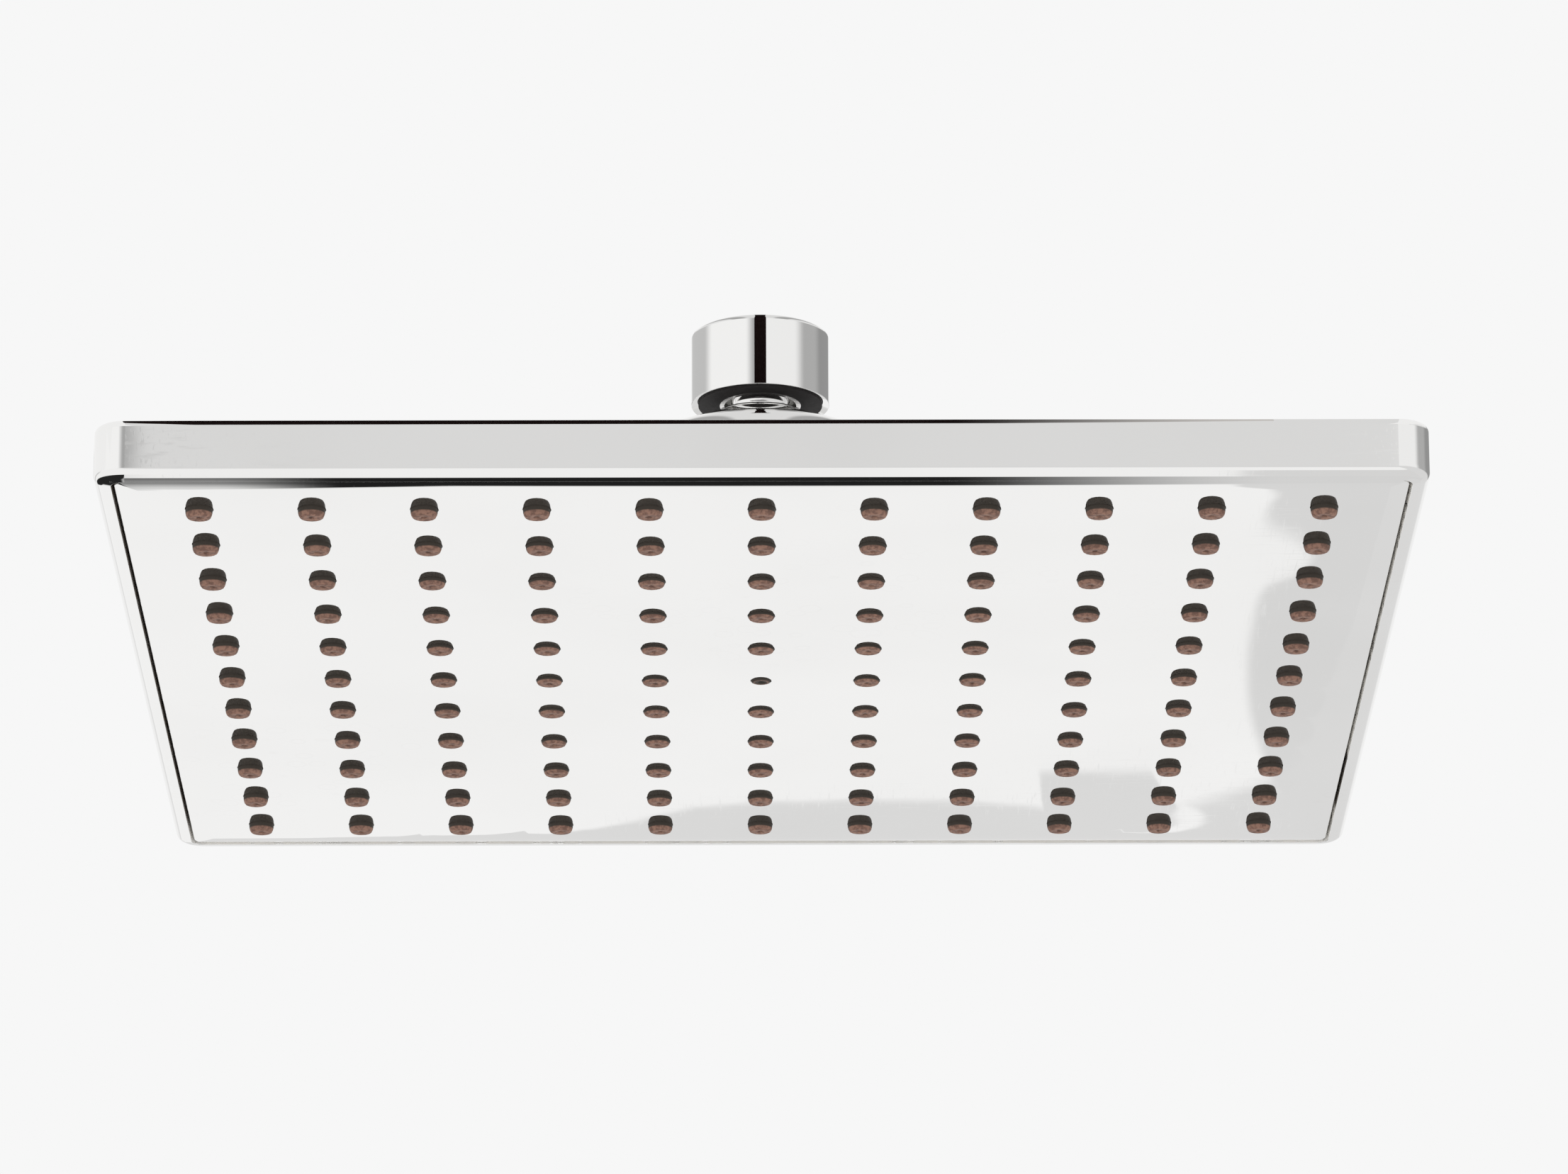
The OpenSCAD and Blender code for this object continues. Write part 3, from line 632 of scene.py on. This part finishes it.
def nozzle_cells(ring_steps):
    """Every nozzle's cell of the grid at once. A cell's points run round its centre in a few steps, and
    each ring lies between the circle of its radius and the cell's square:
    point = (1 - s) * circle + s * square."""
    steps = 4 * CELL_SIDE
    centres = (np.arange(GRID_N) - (GRID_N - 1) / 2) * PITCH
    cx, cy = (g.ravel() for g in np.meshgrid(centres, centres, indexing="ij"))
    along = np.arange(CELL_SIDE) / CELL_SIDE * 2 - 1
    side = np.stack([along, -np.ones(CELL_SIDE)], -1)
    square = four_sides(side) * PITCH / 2
    turn = math.radians(225) + np.arange(steps) * 2 * math.pi / steps
    circle = np.stack([np.cos(turn), np.sin(turn)], -1)
    middle = (np.abs(cx) < 1) & (np.abs(cy) < 1)
    rings = []
    for radius, share, height in ring_steps(middle):
        plan = (1 - share) * np.reshape(radius, (-1, 1, 1)) * circle + share * square
        x, y = plan[..., 0] + cx[:, None], plan[..., 1] + cy[:, None]
        if callable(height):
            z = height(x, y, cx[:, None], cy[:, None])
        else:
            z = np.reshape(height, (-1, 1)) + 0 * x
        rings.append(np.stack([x, y, z], -1))
    points = np.stack(rings, 1)
    quads = ring_quads(len(rings), steps, False)
    offset = np.arange(len(cx)) * len(rings) * steps
    return points, (quads[None] + offset[:, None, None]).reshape(-1, 4)


def face_plate():
    """The crowned plate: a cell round each nozzle hole, whose edge is a quarter round, and a border from
    the cells to the rounded edge and the skirt inside the rim. The border's rings share the cells' points
    along their edge."""
    edge_r = 0.15

    def crown(x, y, cx, cy):
        """The plate's visible side, whatever the cell."""
        return crown_height(x, y)

    def ring_steps(middle):
        """A cell's rings as (radius, share of the square, height)."""
        hole = np.where(middle, MID_NOZZLE_R, NOZZLE_R) + HOLE_SLIP
        yield hole, 1.0, crown
        yield hole + 2.2, 0.45, crown
        yield hole + edge_r + 0.5, 0.0, crown
        yield hole + edge_r + 0.04, 0.0, crown
        for t in np.linspace(0, math.pi / 2, 4):
            yield (hole + edge_r * (1 - math.sin(t)), 0.0,
                   lambda x, y, cx, cy, t=t: crown_height(x, y) + edge_r * (1 - math.cos(t)))
        yield hole, 0.0, FACE_TOP_Z
        yield hole, 1.0, FACE_TOP_Z

    cells, cell_quads = nozzle_cells(ring_steps)
    block = GRID_N * PITCH / 2
    marks = np.linspace(-block, block, GRID_N * CELL_SIDE + 1)[1:-1]
    corner_n = 9

    def border_ring(half, r):
        """A rounded square whose side points stay where the cells have theirs."""
        ring = []
        turn = np.linspace(-90, 0, corner_n) * math.pi / 180
        for quarter in range(4):
            side = np.stack([marks, np.full(len(marks), -half)], -1)
            corner = np.stack([half - r + r * np.cos(turn), r - half + r * np.sin(turn)], -1)
            c, s = round(math.cos(quarter * math.pi / 2)), round(math.sin(quarter * math.pi / 2))
            ring.append(np.concatenate([side, corner]) @ np.array([[c, s], [-s, c]]))
        return np.concatenate(ring)

    rounding = 0.06
    skirt_corner_r = FACE_CORNER_R - 1.5
    rows = []

    def add(half, r, height):
        """Adds a border ring at a height, or at the height that a function gives."""
        plan = border_ring(half, r)
        z = height(plan[:, 0], plan[:, 1]) if callable(height) else np.full(len(plan), height)
        rows.append(np.column_stack([plan, z]))

    add(block, 0.0, crown_height)
    for inset in (3.5, 2.5, 1.7, 1.0):
        add(FACE_HALF - inset, max(FACE_CORNER_R - inset, 0.1), crown_height)
    add(FACE_HALF - rounding - 0.1, FACE_CORNER_R - rounding - 0.1, crown_height)
    for t in np.linspace(0, math.pi / 2, 6):
        inset = rounding * (1 - math.sin(t))
        add(FACE_HALF - inset, FACE_CORNER_R - inset,
            lambda x, y, t=t: crown_height(x, y) + rounding * (1 - math.cos(t)))
    add(FACE_HALF, FACE_CORNER_R, 4.0)
    add(FACE_HALF, FACE_CORNER_R, SKIRT_TOP_Z)
    add(SKIRT_HALF, skirt_corner_r, SKIRT_TOP_Z)
    add(SKIRT_HALF, skirt_corner_r, FACE_TOP_Z)
    add(block, 0.0, FACE_TOP_Z)
    border = np.stack(rows)
    border_quads = ring_quads(len(rows), border.shape[1], False) + cells.size // 3
    points = np.concatenate([cells.reshape(-1, 3), border.reshape(-1, 3)])
    return points, np.concatenate([cell_quads, border_quads])


def nozzle_mat():
    """The silicone mat with its nozzles: in each cell the rings run from the mat's lower side down the
    nozzle's bulging wall into a dished tip, up the fine jet and the wide way in, and out over the upper
    side. Down the wall an angle t goes from 0 to a right angle: the radius is
    flat + (base - flat) * cos(t)^0.7, and the height falls from the plate to the tip with sin(t)."""
    jet_r, way_in_r, lip_r, dish = 0.55, 1.5, 0.4, 0.12
    jet_top, funnel_top = 1.1, 2.05

    def ring_steps(middle):
        """A cell's rings as (radius, share of the square, height)."""
        base = np.where(middle, MID_NOZZLE_R, NOZZLE_R)
        tip = np.where(middle, MID_TIP_R, TIP_R)
        tip_z = np.where(middle, MID_TIP_Z, 0.0)[:, None]
        yield base, 1.0, FACE_TOP_Z
        yield base, 0.0, FACE_TOP_Z
        flat = tip - lip_r
        for t in np.linspace(0, math.pi / 2, 7):
            yield (flat + (base - flat) * abs(math.cos(t)) ** 0.7, 0.0, lambda x, y, cx, cy, t=t:
                   tip_z + (1 - math.sin(t)) * (crown_height(cx, cy) + 0 * x - tip_z))
        yield jet_r + 0.5 + 0 * base, 0.0, tip_z + 0.7 * dish
        yield jet_r + 0 * base, 0.0, tip_z + dish
        yield jet_r + 0 * base, 0.0, tip_z + jet_top
        yield way_in_r + 0 * base, 0.0, tip_z + funnel_top
        yield way_in_r + 0 * base, 0.0, MAT_TOP_Z
        yield base, 1.0, MAT_TOP_Z

    points, quads = nozzle_cells(ring_steps)
    points[..., :2] = np.clip(points[..., :2], -MAT_HALF, MAT_HALF)
    block = GRID_N * PITCH / 2
    marks = np.clip(np.linspace(-block, block, GRID_N * CELL_SIDE + 1)[:-1], -MAT_HALF, MAT_HALF)
    path = four_sides(np.stack([marks, np.full(len(marks), -MAT_HALF)], -1))
    wall = np.stack([np.column_stack([path, np.full(len(path), z)]) for z in (FACE_TOP_Z, MAT_TOP_Z)])
    wall_quads = ring_quads(2, len(path), False) + points.size // 3
    return np.concatenate([points.reshape(-1, 3), wall.reshape(-1, 3)]), np.concatenate([quads, wall_quads])


def swivel_nut():
    """The coupling nut turned from one closed profile. In the mouth the bore's radius is less by the
    thread's depth times a rounded wave of z / pitch - angle / full turn, which fades out at both ends."""
    mouth, rows, around = 0.6, 64, 128
    outside = rounded_profile([
        (LIP_BORE_R, NUT_Z + WIPER_T, 0.1), (WIPER_R, NUT_Z + WIPER_T, 0.0), (NUT_R - 0.15, NUT_Z, 0.0),
        (NUT_R, NUT_Z, 0.1), (NUT_R, NUT_TOP_Z, 1.0), (INLET_R + 0.7, NUT_TOP_Z, 0.25)], 8)
    bore_z = np.linspace(NUT_TOP_Z - mouth, RELIEF_Z, rows)
    bore = np.column_stack([np.full(rows, INLET_R), bore_z])
    inside = np.array([(INLET_R + RELIEF_DEPTH, RELIEF_Z), (INLET_R + RELIEF_DEPTH, LEDGE_Z),
                       (CAVITY_R, LEDGE_Z), (CAVITY_R, LIP_TOP_Z), (LIP_BORE_R, LIP_TOP_Z)])
    profile = np.concatenate([outside, bore, inside])
    points = revolved(profile, around)
    turn = np.linspace(0, 2 * np.pi, around, endpoint=False)
    first = len(outside)
    phase = bore_z[:, None] / THREAD_PITCH - turn / (2 * np.pi)
    wave = 0.5 + 0.5 * np.cos(2 * np.pi * phase)
    wave = wave * wave * (3 - 2 * wave)
    fade = np.clip((bore_z[0] - bore_z) / 0.7, 0, 1) * np.clip((bore_z - RELIEF_Z) / 0.5, 0, 1)
    radius = INLET_R - THREAD_DEPTH * wave * fade[:, None]
    points[first:first + rows, :, 0] = radius * np.cos(turn)
    points[first:first + rows, :, 1] = radius * np.sin(turn)
    return points, ring_quads(len(points), around, True)


def ball_stem():
    """Nose, shank, flange, neck and ball turned from one closed profile, bored through. At the ball's top
    the bore is a hexagon: its radius is the hexagon's, KEY_R cos 30 over the cosine of the angle from the
    nearest flat."""
    groove_low, groove_top, around = NOSE_Z + 3.0, NOSE_Z + 5.6, 96
    ball_low = -math.sqrt(BALL_R ** 2 - NECK_R ** 2)
    angle = np.linspace(math.asin(ball_low / BALL_R), math.asin(BALL_CUT / BALL_R), 26)
    ball = np.column_stack([BALL_R * np.cos(angle), BALL_Z + BALL_R * np.sin(angle)])
    low = rounded_profile([
        (STEM_BORE_R, FLANGE_Z - 1.0, 0.0), (SHANK_BORE_R, FLANGE_Z - 1.0, 0.0), (SHANK_BORE_R, NOSE_Z, 0.0),
        (NOSE_R, NOSE_Z, 0.5), (NOSE_R, groove_low, 0.1), (GROOVE_R, groove_low, 0.2),
        (GROOVE_R, groove_top, 0.2), (NOSE_R, groove_top, 0.1), (NOSE_R, SHANK_LOW_Z, 0.1),
        (SHANK_R, SHANK_LOW_Z, 0.9), (SHANK_R, FLANGE_Z, 0.1), (FLANGE_R, FLANGE_Z, 0.15),
        (FLANGE_R, FLANGE_TOP_Z, 0.4), (NECK_R, FLANGE_TOP_Z, 0.45), (NECK_R, BALL_Z + ball_low, 0.0)], 5)
    top_z = BALL_Z + BALL_CUT
    key = np.array([(KEY_R, top_z), (KEY_R, top_z - KEY_DEPTH), (STEM_BORE_R, top_z - KEY_DEPTH - 0.4)])
    profile = np.concatenate([low, ball, key])
    points = revolved(profile, around)
    turn = np.linspace(0, 2 * np.pi, around, endpoint=False)
    flat = (turn + math.pi / 6) % (math.pi / 3) - math.pi / 6
    hexagon = KEY_R * math.cos(math.pi / 6) / np.cos(flat)
    first = len(low) + len(ball)
    points[first:first + 2, :, 0] = hexagon * np.cos(turn)
    points[first:first + 2, :, 1] = hexagon * np.sin(turn)
    return points, ring_quads(len(points), around, True)


# Pieces
PLATED_PLASTIC = chrome("plated_plastic", 0.2, 0.3)
PLATED_FACE = chrome("plated_face", 0.12, 0.2, 0.010)
PLATED_BRASS = chrome("plated_brass", 0.1, 0.3)

make_piece("back_shell", *back_cover(), PLATED_PLASTIC, "head", "chromed_plastic", "back_cover")
make_piece("face_skin", *face_plate(), PLATED_FACE, "head", "chromed_face", "face_plate")
make_piece("nozzles", *nozzle_mat(), silicone(), "head", "silicone", "nozzle_mat")
make_piece("stem", *ball_stem(), PLATED_BRASS, "head", "chromed_brass", "ball_stem")
make_piece("nut", *swivel_nut(), PLATED_BRASS, "nut", "chromed_brass", "swivel_nut")

INNER_PLASTIC = moulded("white_moulding", (0.80, 0.80, 0.77), (0.74, 0.74, 0.71), 0.42, 700.0, 0.3)
SEAL_RUBBER = moulded("seal_rubber", (0.030, 0.030, 0.031), (0.018, 0.018, 0.018), 0.5, 1100.0, 0.45, 0.3)
SLIP_PLASTIC = moulded("slip_plastic", (0.84, 0.83, 0.78), (0.79, 0.78, 0.72), 0.32, 900.0, 0.15)
LIMITER_PLASTIC = moulded("limiter_plastic", (0.10, 0.26, 0.50), (0.08, 0.21, 0.42), 0.38, 900.0, 0.2)
TURNED_BRASS = turned_metal("turned_brass", (0.72, 0.54, 0.27), (0.60, 0.43, 0.20), 0.2)
SCREW_STEEL = turned_metal("screw_steel", (0.66, 0.67, 0.68), (0.55, 0.56, 0.57), 0.22)
FILTER_STEEL = turned_metal("filter_steel", (0.60, 0.61, 0.62), (0.50, 0.51, 0.52), 0.28)

NODE_FINISH = {
    "diffuser_plate": INNER_PLASTIC, "chamber_cover": INNER_PLASTIC,
    "plate_screws": SCREW_STEEL, "cover_screws": SCREW_STEEL,
    "chamber_gasket": SEAL_RUBBER, "stem_o_ring": SEAL_RUBBER, "flange_washer": SEAL_RUBBER,
    "liner_o_ring": SEAL_RUBBER, "inlet_washer": SEAL_RUBBER, "wiper_ring": wiper_rubber(),
    "thread_insert": TURNED_BRASS, "flow_limiter": LIMITER_PLASTIC,
    "ball_liner": SLIP_PLASTIC, "seat_ring": SLIP_PLASTIC, "compression_ring": SLIP_PLASTIC,
    "inlet_filter": FILTER_STEEL,
}
for node_name, finish in NODE_FINISH.items():
    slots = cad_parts[node_name].data.materials
    slots.clear()
    slots.append(finish)


# Studio
# Levels run from 0, black, to 1, white. x runs to the right, y away from the camera and z up.
MATT_LEVEL = 0.95
BACKDROP_LEVEL = 0.93
FLOOR_Z = -0.75
FLOOR_REACH = 14.0
DARK_PAINT = (0.012, 0.007, 0.007)
BLACK = (0.0, 0.0, 0.0)


def studio_world():
    """A pale studio. The camera sees one plain level, matt surfaces get even light, and metal sees the
    room by the direction (x, y, z) of its mirrored ray: white ground with grey to the right and at the
    back, walls from white to dark grey, and a ceiling that is pale in the middle and grey at its sides."""
    world = bpy.data.worlds.new("studio")
    bpy.context.scene.world = world
    world.use_nodes = True
    tree = world.node_tree
    tree.nodes.clear()
    way = tree.nodes.new("ShaderNodeTexCoord").outputs["Generated"]
    split = tree.nodes.new("ShaderNodeSeparateXYZ")
    tree.links.new(way, split.inputs[0])
    x, y, z = split.outputs

    def both(a, b):
        """The share where both of two shares are full."""
        return calc(tree, "MULTIPLY", a, b)

    def shade(level, share, to):
        """A level that moves to another one by a share."""
        return blend_values(tree, share, level, to)

    def falling(height, slope):
        """The height of a line that falls to the right."""
        return calc(tree, "MULTIPLY_ADD", x, -slope, height)

    # Walls, from left to right: white, a dark edge, grey in front and pale. Further back: grey on the
    # right, darker behind it, grey on the left, and pale straight behind
    wall = step(tree, x, -0.40, -0.15, 1.0, 0.42)
    for share, to in ((step(tree, x, -0.0740, -0.0718), 0.78),
                      (step(tree, x, 0.0785, 0.0805), 0.95),
                      (both(step(tree, x, 0.3, 0.6), step(tree, y, -0.50, -0.15)), 0.46),
                      (both(step(tree, x, 0.1, 0.3), step(tree, y, 0.2, 0.5)), 0.32),
                      (both(step(tree, x, -0.1, -0.3), step(tree, y, -0.05, 0.30)), 0.58),
                      (step(tree, y, 0.86, 0.92), 0.93)):
        wall = shade(wall, share, to)
    # Ceiling: pale in the middle, grey at the sides, pale again low beyond them and towards the back
    aside = calc(tree, "ABSOLUTE", x)
    ceiling = step(tree, aside, 0.30, 0.42, 0.78, 0.42)
    ceiling = shade(ceiling, both(step(tree, aside, 0.62, 0.70), step(tree, z, 0.88, 0.80)), 0.85)
    ceiling = shade(ceiling, step(tree, y, 0.3, 0.7), 0.95)
    level = shade(wall, step(tree, z, 0.40, 0.50), ceiling)
    # Ground: white, and grey to the right of an edge that shifts at three heights
    white = 0.98
    edge_x = x
    for low_z, high_z, shift in ((-0.330, -0.460, 0.0057), (-0.3277, -0.3127, -0.0096),
                                 (-0.3127, -0.3110, 0.0051)):
        edge_x = calc(tree, "MULTIPLY_ADD", step(tree, z, low_z, high_z), shift, edge_x)
    to_right = step(tree, edge_x, 0.0645, 0.0665)
    ground = shade(white, both(to_right, step(tree, y, -0.72, -0.58)), 0.75)
    # High up at the back it is grey above a line that falls to the right in four stretches
    start = calc(tree, "MAXIMUM", falling(-0.2541, 0.13), falling(-0.2564, 0.5))
    start = shade(start, step(tree, x, 0.0380, 0.0395), falling(-0.2595, 0.25))
    start = shade(start, step(tree, x, 0.0540, 0.0555), falling(-0.2252, 0.76))
    ground = shade(ground, step(tree, calc(tree, "SUBTRACT", z, start), -0.0012, 0.0012), 0.77)
    # A narrow white tongue leans into that grey on the right: its sides are x + 0.57 z = a constant
    slant = calc(tree, "MULTIPLY_ADD", z, 0.57, x)
    tongue = both(step(tree, slant, -0.0974, -0.0962), step(tree, slant, -0.0939, -0.0951))
    tongue = both(tongue, both(step(tree, z, -0.2690, -0.2672), step(tree, z, -0.2480, -0.2520)))
    ground = shade(ground, tongue, white)
    level = shade(ground, step(tree, z, -0.12, 0.02), level)
    # Low behind the head, a dark band: wider and softer on the left, fading out to the right
    leftwards = calc(tree, "MULTIPLY_ADD", x, -1.0, -0.035)
    leftwards = calc(tree, "MINIMUM", calc(tree, "MAXIMUM", leftwards, 0.0), 0.032)
    depth = calc(tree, "MULTIPLY_ADD", leftwards, -2.7, z)
    band = both(step(tree, y, 0.60, 0.72), step(tree, x, -0.082, -0.074))
    band = both(band, step(tree, depth, -0.475, -0.500))
    fade = step(tree, x, 0.024, 0.066, 0.015, 0.73)
    fade = shade(fade, step(tree, x, -0.048, -0.064), step(tree, z, -0.41, -0.58, 0.75, 0.09))
    level = shade(level, band, fade)
    # A dark screen low on the left: its upper edge is y - 1.3 z = 1.06
    high = calc(tree, "MULTIPLY_ADD", z, -1.3, y)
    screen = both(step(tree, x, -0.07, -0.09), step(tree, high, 1.03, 1.09))
    screen = both(screen, step(tree, y, 0.935, 0.915))
    level = shade(level, screen, 0.02)

    path = tree.nodes.new("ShaderNodeLightPath").outputs
    level = shade(MATT_LEVEL, path["Is Glossy Ray"], level)
    level = shade(level, path["Is Camera Ray"], BACKDROP_LEVEL)
    paint = tree.nodes.new("ShaderNodeCombineColor")
    for socket in paint.inputs:
        tree.links.new(level, socket)
    background = tree.nodes.new("ShaderNodeBackground")
    tree.links.new(paint.outputs[0], background.inputs["Color"])
    out = tree.nodes.new("ShaderNodeOutputWorld")
    tree.links.new(background.outputs[0], out.inputs["Surface"])


def set_paint(name, colour, glow=(1.0, 1.0, 1.0), strength=0.0):
    """Paint without shine for a part of the set. It glows by itself where it has a strength."""
    material, tree, surface, place = new_material(name)
    surface.inputs["Base Color"].default_value = (*colour, 1.0)
    surface.inputs["Specular IOR Level"].default_value = 0.0
    surface.inputs["Emission Color"].default_value = (*glow, 1.0)
    surface.inputs["Emission Strength"].default_value = strength
    return material, tree, surface, place


def stage_plane(name, corners, material, glossy_only=True):
    """A flat four-cornered part of the set, which only reflections show unless it is told otherwise."""
    mesh = bpy.data.meshes.new(name)
    mesh.from_pydata(corners, [], [(0, 1, 2, 3)])
    mesh.materials.append(material)
    plane = bpy.data.objects.new(name, mesh)
    bpy.context.scene.collection.objects.link(plane)
    if glossy_only:
        plane.visible_camera = plane.visible_diffuse = plane.visible_shadow = False
        plane.visible_transmission = False
    else:
        plane.visible_glossy = False


def level_card(name, x_ends, y_ends, z, material, glossy_only=True):
    """A level rectangle of the set."""
    (x, x2), (y, y2) = x_ends, y_ends
    stage_plane(name, [(x, y, z), (x2, y, z), (x2, y2, z), (x, y2, z)], material, glossy_only)


def card_strip(name, edges, material):
    """Cards in a row, each from one edge to the next. An edge is given by its two ends."""
    for k, ((start, end), (next_start, next_end)) in enumerate(zip(edges, edges[1:])):
        stage_plane(f"{name}_{k}", [start, end, next_end, next_start], material)


def build_floor():
    """The floor far below the head. Its paint melts into the backdrop between two distances."""
    floor_paint, tree, surface, place = set_paint("floor_paint", BLACK, (BACKDROP_LEVEL,) * 3)
    cloud = noise(tree, place, 1.5, 3.0)
    paint = blend_colours(tree, cloud, (0.90, 0.90, 0.90), (0.88, 0.88, 0.88))
    distance = tree.nodes.new("ShaderNodeVectorMath")
    distance.operation = "LENGTH"
    tree.links.new(place, distance.inputs[0])
    glow = step(tree, distance.outputs["Value"], 1.7, 4.5)
    tree.links.new(blend_colours(tree, glow, paint, BLACK), surface.inputs["Base Color"])
    tree.links.new(glow, surface.inputs["Emission Strength"])
    surface.inputs["Roughness"].default_value = 0.9
    ends = (-FLOOR_REACH, FLOOR_REACH)
    level_card("floor", ends, ends, FLOOR_Z, floor_paint, False)


def build_cards():
    """Cards that only reflections show: a tall dark one, which stands close before the nut, bends over it
    and draws the line down its front; a dark flag over the front rim; and white ones beside the corners."""
    card_paint = set_paint("card_paint", DARK_PAINT)[0]
    # Each edge of the tall card is (half width, y, z)
    tall = ((0.0031, -0.025, 0.0605), (0.0031, -0.025, 0.080), (0.0028, -0.021, 0.090),
            (0.0022, -0.010, 0.093), (0.002, 0.0, 0.093))
    card_strip("tall_card", [((-w, y, z), (w, y, z)) for w, y, z in tall], card_paint)

    # The flag is paler to the right and narrower at both ends: each edge is (x, near y, far y)
    flag_paint, tree, surface, place = set_paint("flag_paint", DARK_PAINT, (1.0, 0.97, 0.94))
    across = tree.nodes.new("ShaderNodeSeparateXYZ")
    tree.links.new(place, across.inputs[0])
    paler = step(tree, across.outputs[0], 0.035, 0.098, 0.0, 0.62)
    tree.links.new(paler, surface.inputs["Emission Strength"])
    flag_z = 0.034
    flag = ((-0.122, -0.130, -0.110), (-0.108, -0.152, -0.1045), (0.045, -0.148, -0.1045),
            (0.097, -0.130, -0.112))
    card_strip("rim_flag", [((x, far, flag_z), (x, near, flag_z)) for x, near, far in flag], flag_paint)

    white_paint = set_paint("white_paint", BLACK, (0.97, 0.97, 0.97), 1.0)[0]
    near, card_z = -0.19, 0.045
    level_card("corner_card_left", (-0.1225, -0.215), (near, -0.02), card_z, white_paint)
    level_card("corner_card_right", (0.1225, 0.165), (near, -0.075), card_z, white_paint)
    # The side card leans inwards: each edge is (x, z)
    (low_x, low_z), (high_x, high_z) = (-0.245, 0.01), (-0.225, 0.10)
    stage_plane("side_card", [(low_x, -0.16, low_z), (low_x, 0.10, low_z),
                              (high_x, 0.10, high_z), (high_x, -0.16, high_z)], white_paint)


def hang_lamp():
    """A large soft lamp on the left, above the head and in front of it, turned towards it."""
    lamp = bpy.data.lights.new("soft_lamp", "AREA")
    lamp.energy = 9.0
    lamp.size = 1.4
    holder = bpy.data.objects.new("soft_lamp", lamp)
    bpy.context.scene.collection.objects.link(holder)
    holder.location = (-0.9, -1.1, 1.9)
    holder.rotation_mode = "QUATERNION"
    holder.rotation_quaternion = (-Vector(holder.location)).to_track_quat("-Z", "Y")
    holder.visible_glossy = False


studio_world()
build_floor()
build_cards()
hang_lamp()
bpy.context.scene.view_settings.view_transform = "Standard"
